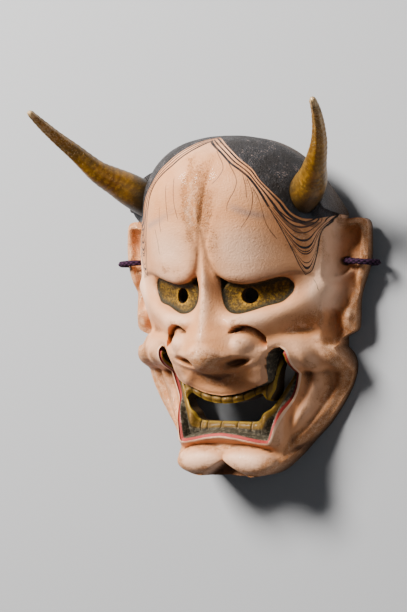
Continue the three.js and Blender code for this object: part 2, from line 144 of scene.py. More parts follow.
# smooth value at v from (place, value) stations
def pick(v, stations):
    xs = np.array([s[0] for s in stations], float)
    ys = np.array([s[1] for s in stations], float)
    last = len(xs) - 1
    after = np.minimum(np.arange(last + 1) + 1, last)
    before = np.maximum(np.arange(last + 1) - 1, 0)
    slopes = (ys[after] - ys[before]) / (xs[after] - xs[before])
    v = np.clip(v, xs[0], xs[-1])
    i = np.clip(np.searchsorted(xs, v, side="left") - 1, 0, last - 1)
    h = xs[i + 1] - xs[i]
    t = (v - xs[i]) / h
    a = (2 * t ** 3 - 3 * t ** 2 + 1) * ys[i] + (t ** 3 - 2 * t ** 2 + t) * h * slopes[i]
    b = (3 * t ** 2 - 2 * t ** 3) * ys[i + 1] + (t ** 3 - t ** 2) * h * slopes[i + 1]
    return a + b


# the points, with one more beyond each end
def withEnds(points):
    p = np.array(points, float)
    return np.vstack([2 * p[0] - p[1], p, 2 * p[-1] - p[-2]])


def curve(points, steps=6):
    ends = withEnds(points)
    out = []
    for i in range(1, len(ends) - 2):
        a, b, c, d = ends[i - 1], ends[i], ends[i + 1], ends[i + 2]
        for k in range(steps):
            t = k / steps
            out.append(0.5 * (2 * b + (c - a) * t + (2 * a - 5 * b + 4 * c - d) * t * t
                              + (3 * b - a - 3 * c + d) * t ** 3))
    out.append(ends[-2])
    return np.array(out)


# distance to the line, the same with a sign for its left side, and the share along it
def near(x, y, line):
    best = np.full(x.shape, 1e9)
    side = np.zeros(x.shape)
    along = np.zeros(x.shape)
    count = len(line) - 1
    for i in range(count):
        ax, ay = line[i]
        dx, dy = line[i + 1] - line[i]
        t = clamp(((x - ax) * dx + (y - ay) * dy) / (dx * dx + dy * dy))
        ex = x - ax - t * dx
        ey = y - ay - t * dy
        d = np.hypot(ex, ey)
        hit = d < best - 1e-9
        best[hit] = d[hit]
        side[hit] = np.sign(dx * ey - dy * ex)[hit]
        along[hit] = ((i + t) / count)[hit]
    return best, side * best, along


# depth inside a closed ring, negative outside
def within(x, y, ring):
    closed = np.vstack([ring, ring[:1]])
    odd = np.zeros(x.shape, bool)
    for (ax, ay), (bx, by) in zip(closed[:-1], closed[1:]):
        if ay != by:
            odd ^= ((ay > y) != (by > y)) & (x < (bx - ax) * (y - ay) / (by - ay) + ax)
    d = near(x, y, closed)[0]
    return np.where(odd, d, -d)


# squared distance from a turned oval's centre, 1 on its edge
def oval(x, y, cx, cy, rx, ry, turn):
    u = ((x - cx) * math.cos(turn) + (y - cy) * math.sin(turn)) / rx
    v = (-(x - cx) * math.sin(turn) + (y - cy) * math.cos(turn)) / ry
    return u * u + v * v


def bump(x, y, cx, cy, rx, ry, turn=0.0, power=1.0):
    return np.exp(-(oval(x, y, cx, cy, rx, ry, turn) ** power))


def dome(x, y, cx, cy, base, rx, ry, rise, turn=0.0):
    q = oval(x, y, cx, cy, rx, ry, turn)
    return np.where(q < 1, base + rise * np.sqrt(clamp(1 - q)), base - 2.4 * (np.sqrt(q) - 1) * rise)


def ridge(x, y, line, width, rise):
    d, signed, along = near(x, y, np.asarray(line, float))
    return pick(along, rise) * bell(d / pick(along, width))


# feature lines of the right half, millimetres
browLine = curve([(0, 47), (1.6, 38), (3.2, 27), (7.2, 19.2), (14, 14.6), (22, 13.2), (30, 14.4), (40, 17.2),
                  (50, 20), (58, 19), (66.5, 17.2), (90, 14)])
lidLower = [(7.6, 17.5), (8, 7), (10, 0), (14, -3.9), (20, -4.8), (27, -2.8), (34, 0), (41.5, 2.2),
            (44.8, 5), (47.6, 9.2), (48.1, 13.4), (46, 17)]
lidUpper = [(46, 17), (42.6, 17.9), (38, 16.7), (30, 14.4), (22, 13.2), (14, 14.6), (10, 16.8), (7.6, 17.5)]
eyeRing = np.vstack([curve(lidLower)[:-1], curve(lidUpper)[:-1]])
cheekFold = curve([(14, -17.2), (16.6, -14.4), (20.6, -12.2), (25.2, -11.8), (29.8, -13.8), (33.2, -18),
                   (34.6, -23), (34.8, -28)])
wingEdge = curve([(14.6, -18), (18, -16.2), (22.5, -15.8), (27, -18.4), (29.6, -22.6), (30.2, -27),
                  (31, -30)])
foldRing = np.vstack([cheekFold, wingEdge[::-1]])
upperLip = curve([(0, -55.8), (11.6, -54.2), (22.4, -50.4), (29.6, -47.4), (31.6, -44.2), (32.6, -38),
                  (34.2, -31.5), (37.2, -26.6), (41.2, -25)])
lowerLip = curve([(41.2, -25), (44.6, -28.5), (45.2, -38), (43.2, -48), (40.4, -56.5), (36.4, -66),
                  (33.6, -75), (31.4, -83.4), (28.6, -85), (20, -83.8), (10, -81.8), (0, -80.7)])
mouthHalf = np.vstack([upperLip[:-1], lowerLip])
upperTeeth = curve([(0, -60.9), (8, -60.2), (16, -58), (22, -55), (25.2, -54.6), (29, -59)], 4)
cornerGap = curve([(29, -59), (31.4, -52), (32.6, -44.5), (35, -36.4), (38.5, -31.6), (41.4, -29.6),
                   (43, -32), (40.4, -41.5), (35.4, -52), (29.6, -62.6), (26.6, -65.4)], 4)
lowerTeeth = curve([(26.6, -65.4), (24, -67.2), (20, -71.8), (10, -72.3), (0, -72.3)], 4)
gapHalf = np.vstack([upperTeeth[:-1], cornerGap[:-1], lowerTeeth])
headTop = curve([(0, 106.4), (14, 105.8), (28, 102.8), (40, 97.5), (49, 91), (58, 81), (64, 70), (68, 60)])
earEdge = curve([(69.2, 54.2), (80.2, 54.6), (84.6, 52), (85.3, 44), (85.2, 32), (84, 24), (80.5, 14),
                 (78, 4.5), (77.6, -7.8), (76.5, -14.5), (70, -18.3), (66.5, -21)])
earInner = curve([(67.4, 62), (66.6, 44), (66.6, 30), (65.4, 19), (68, 12), (65, 4), (63, -6), (62, -15),
                  (66, -24)])
jawEdge = curve([(69.5, -27), (72.6, -36), (71, -46), (65.5, -57.5), (56.5, -71), (46, -83.5), (37.8, -95),
                 (30, -102.6), (21, -106), (10, -106.2), (0, -105.6)])
hollowHalf = curve([(0, 98), (18, 97), (34, 89), (46, 77), (53, 62), (56, 40), (56, 10), (56, -20), (56, -42),
                    (48, -62), (35, -80), (22, -93), (10, -97), (0, -97)])
cheekBone = curve([(10, -10), (22, -9), (34, -6.5), (46, -1), (57, 6), (66, 14), (72, 21)])
mouthFold = curve([(42, -19), (50, -23), (54, -32), (54, -44), (48.5, -56), (42.5, -70), (38, -82),
                   (35, -92)])
jawGroove = curve([(60, -30), (61.5, -44), (56, -60), (47.5, -72), (39.5, -83), (34.5, -92), (32, -98)])
jawRidge = curve([(64, -26), (68, -34), (66.5, -44), (60, -57), (50.5, -71), (42, -83), (36, -94)])
earFold = curve([(66, 46), (74, 50), (81, 50.5), (82.5, 44), (82.2, 32), (80.5, 20), (76.5, 8), (75, -6)])
tragusLine = curve([(67.6, 56), (67, 46), (66.4, 36), (65.4, 24), (64.8, 12), (64, 0)])
antitragusLine = curve([(66, 16.5), (70, 18.5), (75, 21.5)])
foreRidge = [(0, 98), (0, 78), (0, 60), (0, 48)]
foreGroove = curve([(14, 90), (10.5, 76), (7, 62), (4, 50), (2.4, 40)])


def mirrored(half):
    return np.vstack([half, half[-2:0:-1] * [-1, 1]])


outline = mirrored(np.vstack([headTop, earEdge, jawEdge]))
mouthRing = mirrored(mouthHalf)
gapRing = mirrored(gapHalf)
hollowRing = mirrored(hollowHalf)
pupilPlace = (23.4, 6.4)
earHole = (71, 28)
upperShare = len(upperLip) / len(mouthHalf)

carving = {"wall": 8, "gridStep": 0.65, "pocketStep": 0.6, "hollowStep": 1.5, "smoothAngle": 38,
           "pupilRadius": 4.9, "pupilSides": 40, "cordHoleRadius": 3.0, "cordHoleSides": 28,
           "seatSides": 48, "seatRings": 40, "earBackRise": 6.4, "earRise": 14,
           "faceGrid": (-89, 89, -110, 111), "pocketGrid": (-47, 47, -88, -23),
           "backGrid": (-97, 97, -118, 118), "blockLow": -14, "outlineLow": -10, "backLow": -30,
           "cutLow": -20, "cutHigh": 140, "pocketHigh": 130}

# rounded forms of the carving: centre x, centre y, half width, half height, turn, power
swells = {"lidHollow": (28, 8, 27, 13, 0.12, 1.6), "cheekHollow": (54, -15, 12, 8, 0.45),
          "nostril": (17, -34.6, 7.4, 2.3, 0.22, 1.3), "chinHollow": (12, -88, 22, 3.4, -0.05),
          "foreheadLobe": (27, 30, 22, 22, 0, 1.3), "cheekBack": (42, -36, 11, 20, 0.1),
          "earTopHollow": (76.5, 41, 4.6, 6, -0.5), "earLowHollow": (77, 11, 3, 6.5, 0.2),
          "earBowl": (71, 30, 3, 7), "earLobe": (71.5, -7, 5.2, 8.5, 0.15, 1.5),
          "lowerFang": (25.5, -71, 3.2, 6.5, -0.1, 1.3), "upperFang": (28.4, -55.5, 2.8, 5, 0.1, 1.3)}
# domes: centre x, centre y, base height, half width, half height, rise, turn
domes = {"noseTip": (0, -30.5, 57, 14, 12, 21), "noseWing": (18, -24, 48, 12.6, 10.6, 18.5, 0.12),
         "chinLobe": (15.5, -96, 37.5, 19.5, 9.6, 11.5, -0.1), "hornSeat": (58, 69, 27, 18.5, 18.5, 21)}

stationY = [-106, -96, -85, -70, -57, -42, -28, -14, 10, 30, 50, 70, 85, 95, 102, 107]
midStations = list(zip(stationY, [40, 43.5, 41, 40, 43, 52, 61, 65.5, 66, 71, 77, 79, 75.5, 69, 58, 38]))
widthStations = list(zip(stationY, [36, 43, 52, 62, 70, 78, 83, 88, 92, 88, 80, 75, 67, 57, 46, 34]))
roundStations = list(zip(stationY, [3.2, 3.2, 3, 2.6, 1.6, 1.3, 1.35, 1.7, 1.75, 2.1, 2.6, 3, 3, 3, 2.8, 2.6]))
edgeStations = [(-106, 31), (-96, 25), (-82, 12), (-60, 8), (-20, 7), (20, 9), (50, 13), (62, 24), (76, 30),
                (106, 33)]
rimStations = [(-106, 16), (-96, 10.6), (-84, 3.2), (-74, 0), (46, 0), (56, 4), (70, 13.8), (88, 22.5),
               (107, 25)]


def baseForm(ax, y):
    share = np.clip(ax / pick(y, widthStations), 0, 1.2)
    return pick(y, midStations) * (1 - share ** pick(y, roundStations))


# nose ridge along the face: height, side slope and roundness of the crown
noseTop = [(-46, 40), (-41, 62), (-34, 75), (-22, 75.5), (-10, 72), (6, 70), (16, 70.8), (25, 71.2),
           (34, 71.4), (44, 69), (56, 40)]
noseSlope = [(-46, 0.9), (-20, 0.75), (-8, 1.05), (6, 1.45), (25, 1.7)]
noseCrown = [(-46, 7), (-20, 4.5), (6, 2.2), (25, 1.6)]
lipHeight = [(-60, 47.2), (-55, 47), (-50, 48.5), (-44, 53), (-38, 57.5), (-30, 60)]
lipFall = [(0, 0), (8, 0.2), (20, 2), (31, 5.6), (36, 11), (42, 22)]
browRoll = [(0, 0.6), (0.1, 2.4), (0.2, 4.2), (0.45, 4.2), (0.7, 2.6), (0.85, 1.2), (1, 0.3)]
lowerTeethHeight = [(0, 36.5), (20, 36.3), (28, 36), (34, 31), (40, 26), (44, 24.2), (48, 23.5)]
upperTeethHeight = [(0, 42.5), (20, 40.5), (27, 38.5), (32, 35), (36, 31.5), (40, 28), (46, 24)]


def noseForm(ax, y):
    crown = pick(y, noseCrown)
    return pick(y, noseTop) - pick(y, noseSlope) * (np.hypot(ax, crown) - crown)


def foldFade(along):
    return smooth(along, 0, 0.15) * (1 - smooth(along, 0.75, 1))


# underside seen between the chin's two lobes
def cleft(ax, y):
    return smooth(-y - 95.5 - 0.62 * ax - 0.8 * smooth(ax, 14, 24), 0, 3.2)


def lowerForm(ax, y):
    low = baseForm(ax, y) - 4.5 * bump(ax, y, *swells["lidHollow"])
    low += ridge(ax, y, cheekBone, [(0, 7), (0.4, 8), (1, 6)], [(0, 2), (0.2, 4), (0.8, 4), (1, 3.5)])
    low -= 4.5 * bump(ax, y, *swells["cheekHollow"])
    d, signed, along = near(ax, y, cheekFold)
    low += 2.2 * foldFade(along) * bell(d / 5)
    nose = noseForm(ax, y)
    low = smoothMax(low, nose, 3)
    tip = dome(ax, y, *domes["noseTip"])
    wing = dome(ax, y, *domes["noseWing"])
    low = smoothMax(smoothMax(low, tip, 3.5), wing, 1.6)
    lip = pick(y, lipHeight) - pick(ax, lipFall)
    lip += ridge(ax, y, [(12, -38), (20, -45), (26, -49)], [(0, 3), (1, 3)], [(0, 1), (1, 1.2)])
    lip -= ridge(ax, y, [(0, -40), (0, -47)], [(0, 3.2), (1, 3.2)], [(0, 2.2), (1, 0.6)])
    share = smooth(-y, 31, 37) * (1 - smooth(ax, 34, 41))
    low = low * (1 - share) + smoothMax(lip, nose, 2) * share
    low = smoothMax(smoothMax(low, tip, 2), wing, 1)
    low -= 9 * bump(ax, y, *swells["nostril"])
    # folds round the mouth, the cheek and the jaw
    d, signed, along = near(ax, y, mouthHalf)
    outside = -within(ax, y, mouthRing)
    lowerSide = smooth(along, 0.46, 0.6)
    low += lowerSide * (1.4 * bell((outside - 0.4) / 1.8) - 2.8 * bell((outside - 5) / 2.8))
    low += ridge(ax, y, mouthFold, [(0, 4.5), (0.5, 4.5), (1, 3.4)],
                 [(0, 1), (0.3, 2.8), (0.6, 3.8), (1, 2.8)])
    low -= ridge(ax, y, jawGroove, [(0, 3.4), (0.3, 2.5), (1, 2)], [(0, 1), (0.3, 3.4), (0.8, 3.8), (1, 1.8)])
    low += ridge(ax, y, jawRidge, [(0, 4.2), (1, 3)], [(0, 1), (0.3, 2.8), (0.8, 3), (1, 2.4)])
    low -= 3 * bump(ax, y, *swells["chinHollow"])
    lobe = dome(ax, y, *domes["chinLobe"])
    low = np.where(y < -80, smoothMax(low - 4 * smooth(-y, 88, 95), lobe, 1.4), low)
    return low - 9 * cleft(ax, y)


def withSides(z, ax, y):
    z = smoothMax(z, dome(ax, y, *domes["hornSeat"]), 3.5)
    z = smoothMax(z, pick(y, edgeStations), 5)
    ear = carving["earRise"] + ridge(ax, y, earFold, [(0, 2.6), (1, 2.2)],
                                     [(0, 3), (0.2, 4.4), (0.5, 3.2), (1, 2)])
    ear += ridge(ax, y, tragusLine, [(0, 3), (1, 3.4)], [(0, 4), (0.5, 9), (1, 8)])
    ear += ridge(ax, y, antitragusLine, [(0, 2.2), (1, 1.8)], [(0, 2), (0.5, 4.2), (1, 3)])
    ear += 5 * bump(ax, y, *swells["earLobe"]) - 1.6 * bump(ax, y, *swells["earBowl"])
    ear -= 3.6 * bump(ax, y, *swells["earTopHollow"]) + 3.4 * bump(ax, y, *swells["earLowHollow"])
    d, signed, along = near(ax, y, earInner)
    share = smooth(signed, -2.4, 1.2) * smooth(60 - y, 0, 4) * smooth(y + 26, 0, 4) * (ax > 55)
    return z * (1 - share) + np.minimum(ear, z + 6) * share


def foreheadForm(ax, y, browSigned, browAlong):
    z = baseForm(ax, y) + 2.4 * bump(ax, y, *swells["foreheadLobe"])
    z += ridge(ax, y, foreRidge, [(0, 7), (0.5, 5.5), (1, 3)], [(0, 0.4), (0.4, 2.4), (0.8, 2), (1, 0.4)])
    z -= ridge(ax, y, foreGroove, [(0, 4.5), (1, 2.6)], [(0, 0.2), (0.4, 1.8), (0.8, 2.6), (1, 1.6)])
    roll = pick(browAlong, browRoll)
    q = clamp(browSigned / 6.5)
    return z + roll * (np.sqrt(clamp(1 - (1 - q) ** 2)) - 1) + 0.3 * roll * bell(browSigned / 14)


def teethForms(ax, mouthDistance, gapDistance):
    u = mouthDistance / (mouthDistance + np.maximum(0.01, gapDistance))
    low = pick(ax, lowerTeethHeight)
    up = pick(ax, upperTeethHeight)
    lowTeeth = low - 2 + 2.2 * np.sin(clamp((u - 0.2) / 0.8) * math.pi) ** 0.6
    upTeeth = up - 0.5 + 1.6 * np.sin(clamp(u) * math.pi)
    return lowTeeth, upTeeth


lowerSplits = (-19.6, -14.8, -5, 6.4, 16.2, 22.5)
scallopWave = {"turns": 0.42, "start": 0.6}


# grooves between the lower teeth
def toothSplits(x, y):
    deep = sum(bell((x - at) / 0.7) for at in lowerSplits)
    return 0.9 * deep * smooth(-y, 68, 73)


# distance from the mouth's edge, depth inside it, and 1 at the upper lip
def mouthPlace(ax, y):
    distance, signed, along = near(ax, y, mouthHalf)
    return distance, within(ax, y, mouthRing), 1 - smooth(along, upperShare - 0.05, upperShare + 0.05)


def frontForm(x, y, withTeeth=True):
    ax = np.abs(x)
    lower = lowerForm(ax, y)
    eye = within(ax, y, eyeRing)
    mouthD, mouthIn, upper = mouthPlace(ax, y)
    z = lower - 1.2 * bell(np.maximum(0, -eye) / 1.6) - 1.4 * upper * bell(mouthD / 1.6)
    z = withSides(z, ax, y)
    # groove between cheek and nostril
    fold = within(ax, y, foldRing)
    d, signed, along = near(ax, y, cheekFold)
    floor = lower - 6.5 * foldFade(along) * bell(d / 3.4)
    z = z + (np.minimum(floor, z) - z) * smooth(fold, -0.3, 0.5)
    # eyeball
    ball = 63.4 - 0.021 * (ax - 20) ** 2 - 0.03 * (y - 6 - 0.12 * (ax - 23)) ** 2
    z = z + (np.minimum(ball, lower - 2) - z) * smooth(eye, -0.3, 0.6)
    browD, browSigned, browAlong = near(ax, y, browLine)
    fore = withSides(foreheadForm(ax, y, browSigned, browAlong), ax, y)
    z = z + (np.maximum(fore, z) - z) * smooth(browSigned, -0.5, 0.4)
    if not withTeeth:
        return z
    return z + (np.minimum(mouthForm(x, y), z) - z) * smooth(mouthIn, -0.05, 0.05)


def mouthForm(x, y):
    ax = np.abs(x)
    lower = lowerForm(ax, y)
    mouthD, mouthIn, upper = mouthPlace(ax, y)
    lowTeeth, upTeeth = teethForms(ax, mouthD, -within(ax, y, gapRing))
    lowTeeth += 2.6 * bump(ax, y, *swells["lowerFang"])
    upTeeth += 2.4 * bump(ax, y, *swells["upperFang"])
    gums = lower - 1.1 - 0.35 * mouthIn - 2.6 * np.maximum(0, mouthIn - 2.1) ** 1.15
    lowTeeth = np.maximum(lowTeeth - toothSplits(x, y) * smooth(mouthIn, 1.8, 2.6),
                          np.minimum(gums, lower - 0.8))
    scallop = np.abs(np.sin(x * scallopWave["turns"] + scallopWave["start"]))
    upTeeth += 1.5 * scallop ** 0.6 * smooth(-ax, -25, -22) - 0.4
    return np.minimum(lowTeeth * (1 - upper) + upTeeth * upper, lower - 0.8)


def hollowForm(x, y):
    ax = np.abs(x)
    inner = np.clip(ax / (pick(y, widthStations) - carving["wall"]), 0, 1.2)
    bowl = (pick(y, midStations) - carving["wall"] - 4) * (1 - inner ** (pick(y, roundStations) * 1.05))
    bowl = bowl - 4 * bump(ax, y, *swells["cheekBack"])
    return smoothMin(bowl, pick(y, rimStations) + 2.4 * within(x, y, hollowRing), 7)


def rimForm(x, y):
    ax = np.abs(x)
    ear = carving["earBackRise"] * smooth(ax, 66, 69) * smooth(y, -30, -24) * smooth(60 - y, 0, 4)
    arch = carving["earBackRise"] * (1 - smooth(np.abs(y - earHole[1]), 8, 15))
    edge = np.where((y > -74) & (y < 46), 0, pick(y, rimStations))
    return np.maximum(np.maximum(edge, ear), arch)


# the face block: a fine grid moved to the carved form, thickened, then cut
def gridPiece(name, step, x0, x1, y0, y1):
    piece = newPiece(name, bpy.ops.mesh.primitive_grid_add, x_subdivisions=round((x1 - x0) / step),
                     y_subdivisions=round((y1 - y0) / step), size=1)
    co = getPoints(piece)
    co[:, 0] = x0 + (co[:, 0] + 0.5) * (x1 - x0)
    co[:, 1] = y0 + (co[:, 1] + 0.5) * (y1 - y0)
    setPoints(piece, co)
    return piece


# drawn millimetres to metres in the shared frame
def toFrame(co):
    out = np.array(co, float)
    out[:, 1] -= drawnCentreY
    return out / 1000


def toDrawn(co):
    out = np.array(co, float) * 1000
    out[:, 1] += drawnCentreY
    return out


def thicken(piece, form, low, hung=False):
    editWhole(piece, bpy.ops.mesh.extrude_region_move, TRANSFORM_OT_translate={"value": (0, 0, -400)})
    co = getPoints(piece)
    lower = co[:, 2] < -200
    carved = lower if hung else ~lower
    co[~carved, 2] = low
    co[carved, 2] = form(co[carved, 0], co[carved, 1])
    setPoints(piece, toFrame(co))
    turnOutward(piece)


# upright prism over a drawn ring
def prismPiece(name, ring, low, high):
    piece = newPiece(name, bpy.ops.mesh.primitive_circle_add, vertices=len(ring), radius=1, fill_type="NGON")
    co = np.zeros((len(ring), 3))
    co[:, :2] = ring
    co[:, 2] = low
    setPoints(piece, toFrame(co))
    rise = (high - low) / 1000
    editWhole(piece, bpy.ops.mesh.extrude_region_move, TRANSFORM_OT_translate={"value": (0, 0, rise)})
    turnOutward(piece)
    return piece


def circleRing(cx, cy, radius, sides):
    a = np.arange(sides) / sides * 2 * math.pi
    return np.column_stack([cx + radius * np.cos(a), cy + radius * np.sin(a)])


def cutWith(piece, tool, operation):
    modifier = piece.modifiers.new("cut", "BOOLEAN")
    modifier.operation = operation
    modifier.object = tool
    modifier.solver = "MANIFOLD"
    applyModifier(piece, modifier)
    bpy.data.objects.remove(tool, do_unlink=True)


hornLine = [(57, 69, 45), (67, 77, 56), (75, 84, 69), (84, 96, 83), (90, 105, 96), (94, 113, 108),
            (96, 119, 117.5)]
hornRadius = [(0, 10.8), (0.1, 10.3), (0.22, 8.6), (0.45, 5.9), (0.7, 4), (0.85, 3.1), (1, 1.9)]
hornMake = {"sides": 56, "rings": 150, "plug": 8, "gap": 0.3, "waves": 16, "rough": 0.035, "rib": 0.10,
            "facet": 0.16}
pathSteps = 800


def between(t, k0, k1, a, b):
    return (k1 - t) / (k1 - k0) * a + (t - k0) / (k1 - k0) * b


# centripetal curve through the points, then evenly spaced along its length
def evenPath(points, count):
    dense = []
    ends = withEnds(points)
    for i in range(1, len(ends) - 2):
        q = ends[i - 1:i + 3]
        k = np.concatenate([[0], np.cumsum(np.sqrt(np.linalg.norm(np.diff(q, axis=0), axis=1)))])
        for t in np.linspace(k[1], k[2], 40, endpoint=False):
            first = [between(t, k[n], k[n + 1], q[n], q[n + 1]) for n in range(3)]
            second = [between(t, k[n], k[n + 2], first[n], first[n + 1]) for n in range(2)]
            dense.append(between(t, k[1], k[2], *second))
    dense = np.array(dense + [ends[-2]])
    run = np.concatenate([[0], np.cumsum(np.linalg.norm(np.diff(dense, axis=0), axis=1))])
    want = np.linspace(0, run[-1], count)
    return np.column_stack([np.interp(want, run, dense[:, k]) for k in range(3)]), run[-1]


# frames that turn as little as they can along the path
def steadyFrames(path):
    tangents = np.gradient(path, axis=0)
    tangents /= np.linalg.norm(tangents, axis=1)[:, None]
    normal = np.cross(tangents[0], [0.3, 0.2, 1.0])
    normal /= np.linalg.norm(normal)
    normals = []
    for t in tangents:
        normal = normal - t * normal.dot(t)
        normal /= np.linalg.norm(normal)
        normals.append(normal)
    normals = np.array(normals)
    return tangents, normals, np.cross(tangents, normals)


# round bar along a path from a cylinder cut into rings; returns each point's share along and turn around
def barPiece(name, points, radiusAt, sides, rings, roundEnd=True):
    piece = newPiece(name, bpy.ops.mesh.primitive_cylinder_add, vertices=sides, radius=1, depth=1,
                     end_fill_type="TRIFAN")
    bpy.ops.object.mode_set(mode="EDIT")
    bpy.ops.mesh.select_all(action="DESELECT")
    bm = bmesh.from_edit_mesh(piece.data)
    for edge in bm.edges:
        a, b = edge.verts
        edge.select = abs(a.co.z - b.co.z) > 0.9
    bmesh.update_edit_mesh(piece.data)
    bpy.ops.mesh.subdivide(number_cuts=rings - 1)
    bpy.ops.object.mode_set(mode="OBJECT")
    co = getPoints(piece)
    share = clamp(co[:, 2] + 0.5)
    angle = np.arctan2(co[:, 1], co[:, 0])
    middle = np.hypot(co[:, 0], co[:, 1]) < 0.5
    path, length = evenPath(points, pathSteps + 1)
    tangents, normals, sidesways = steadyFrames(path)
    at = share * pathSteps
    low = np.clip(np.floor(at).astype(int), 0, pathSteps - 1)
    part = (at - low)[:, None]

    def along(values):
        return values[low] * (1 - part) + values[low + 1] * part

    radius = np.where(middle, 0, radiusAt(share, angle))
    place = along(path) + along(normals) * (np.cos(angle) * radius)[:, None]
    place += along(sidesways) * (np.sin(angle) * radius)[:, None]
    if roundEnd:
        endRadius = radiusAt(np.ones(1), np.zeros(1))[0]
        place += along(tangents) * (middle & (share > 0.5))[:, None] * 0.6 * endRadius
    setPoints(piece, toFrame(place))
    turnOutward(piece)
    return piece, share, angle, length


def hornPoints(side, depth):
    a = np.array(hornLine[0], float)
    b = np.array(hornLine[1], float)
    root = a + (a - b) / np.linalg.norm(a - b) * depth
    return [(side * x, y, z) for x, y, z in [tuple(root)] + hornLine]


def hornSize(share):
    return pick(clamp((share - 0.08) / 0.92), hornRadius)


# carrying cord, the same route as in the model, drawn millimetres
cordHalf = [(0, 60, 2.4), (22, 56, 2.4), (42, 44, 2.4), (54, 33.4, 2.3), (66, 28.6, 2.2), (75, 27.4, 2.2),
            (80.9, 27, 2.5), (85.7, 27, 3.8), (89.1, 27, 7.2), (90.4, 27, 12), (89.1, 27.1, 16.8),
            (85.7, 27.3, 20.2), (79.5, 27.7, 21.5), (75.2, 27.9, 20.7), (72.2, 28, 17.8), (71, 28, 13.9),
            (71, 28, 7.4)]
cordMake = {"radius": 1.9, "sides": 24, "rings": 900, "braid": 0.286, "plaits": 3.1, "points": 260}


def addCord():
    points = [(-x, y, z) for x, y, z in cordHalf[:0:-1]] + cordHalf
    path, length = evenPath(points, cordMake["points"])

    def radiusAt(share, angle):
        run = share * length / cordMake["plaits"]
        left = np.abs(np.sin(angle * 2 + run * math.pi))
        right = np.abs(np.sin(angle * 2 - run * math.pi))
        weave = np.maximum(left, right)
        return cordMake["radius"] * (1 - cordMake["braid"] * (1 - weave))

    cord, share, angle, length = barPiece("braided_cord", points, radiusAt, cordMake["sides"],
                                          cordMake["rings"], False)
    setField(cord, "run", share * length / cordMake["plaits"])
    setField(cord, "turn", angle)
    bpy.ops.object.shade_smooth()
    toFrame(path[-1:])[0]
    toFrame(path)[::-1]
    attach(cord, "root")
    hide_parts("carrying_cord")
    return cord


cordPiece = addCord()
print("cord made")


def addHorn(side, name, node, seed):
    rng = np.random.default_rng(seed)
    waves = [(rng.uniform(8, 60), rng.integers(1, 6), rng.uniform(0, 6.28), rng.uniform(0.4, 1))
             for _ in range(hornMake["waves"])]

    def radiusAt(share, angle):
        base = hornSize(share)
        rough = sum(w * np.sin(f * share + k * angle + p) for f, k, p, w in waves) / hornMake["waves"]
        ribs = hornMake["rib"] * np.sin(share * 150 + 1.2 * np.sin(angle + share * 6))
        ribs = ribs * smooth(share, 0.15, 0.3)
        facet = hornMake["facet"] * np.cos(angle * 7 + 2 * share) * smooth(share, 0.3, 0.6)
        grown = base * (1 + hornMake["rough"] * rough) + ribs + facet
        seated = smooth(share, 0.09, 0.13)
        tip = np.sqrt(clamp(1 - smooth(share, 0.975, 1.02) ** 2))
        return (base * (1 - seated) + grown * seated) * tip

    points = hornPoints(side, hornMake["plug"])
    horn, share, angle, length = barPiece(name, points, radiusAt, hornMake["sides"], hornMake["rings"])
    setField(horn, "along", share)
    bpy.ops.object.shade_smooth()
    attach(horn, "root")
    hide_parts(node)
    return horn


leftHorn = addHorn(-1, "carved_horn_left", "horn_left", 11)
rightHorn = addHorn(1, "carved_horn_right", "horn_right", 12)
print("horns made")


def addFace():
    low = carving["cutLow"]
    high = carving["cutHigh"]
    face = gridPiece("carved_face", carving["gridStep"], *carving["faceGrid"])
    thicken(face, lambda x, y: frontForm(x, y, False), carving["blockLow"])
    cutWith(face, prismPiece("outlineTool", outline, carving["outlineLow"], high), "INTERSECT")
    pocket = gridPiece("pocketTool", carving["pocketStep"], *carving["pocketGrid"])
    thicken(pocket, mouthForm, carving["pocketHigh"], True)
    cutWith(pocket, prismPiece("lipTool", mouthRing, low, high), "INTERSECT")
    cutWith(face, pocket, "DIFFERENCE")
    back = gridPiece("backTool", carving["hollowStep"], *carving["backGrid"])
    thicken(back, lambda x, y: np.maximum(rimForm(x, y), hollowForm(x, y)), carving["backLow"])
    cutWith(face, back, "DIFFERENCE")
    cutWith(face, prismPiece("mouthTool", gapRing, low, high), "DIFFERENCE")
    for side in (-1, 1):
        pupil = circleRing(side * pupilPlace[0], pupilPlace[1], carving["pupilRadius"], carving["pupilSides"])
        cutWith(face, prismPiece("pupilTool", pupil, low, high), "DIFFERENCE")
        hole = circleRing(side * earHole[0], earHole[1], carving["cordHoleRadius"], carving["cordHoleSides"])
        cutWith(face, prismPiece("cordHoleTool", hole, low, high), "DIFFERENCE")
        seat = barPiece("seatTool", hornPoints(side, hornMake["plug"] + hornMake["gap"]),
                        lambda share, angle: hornSize(share) + hornMake["gap"],
                        carving["seatSides"], carving["seatRings"])[0]
        cutWith(face, seat, "DIFFERENCE")
    face.data.validate()
    return face


facePiece = addFace()
print("face carved", len(facePiece.data.polygons))


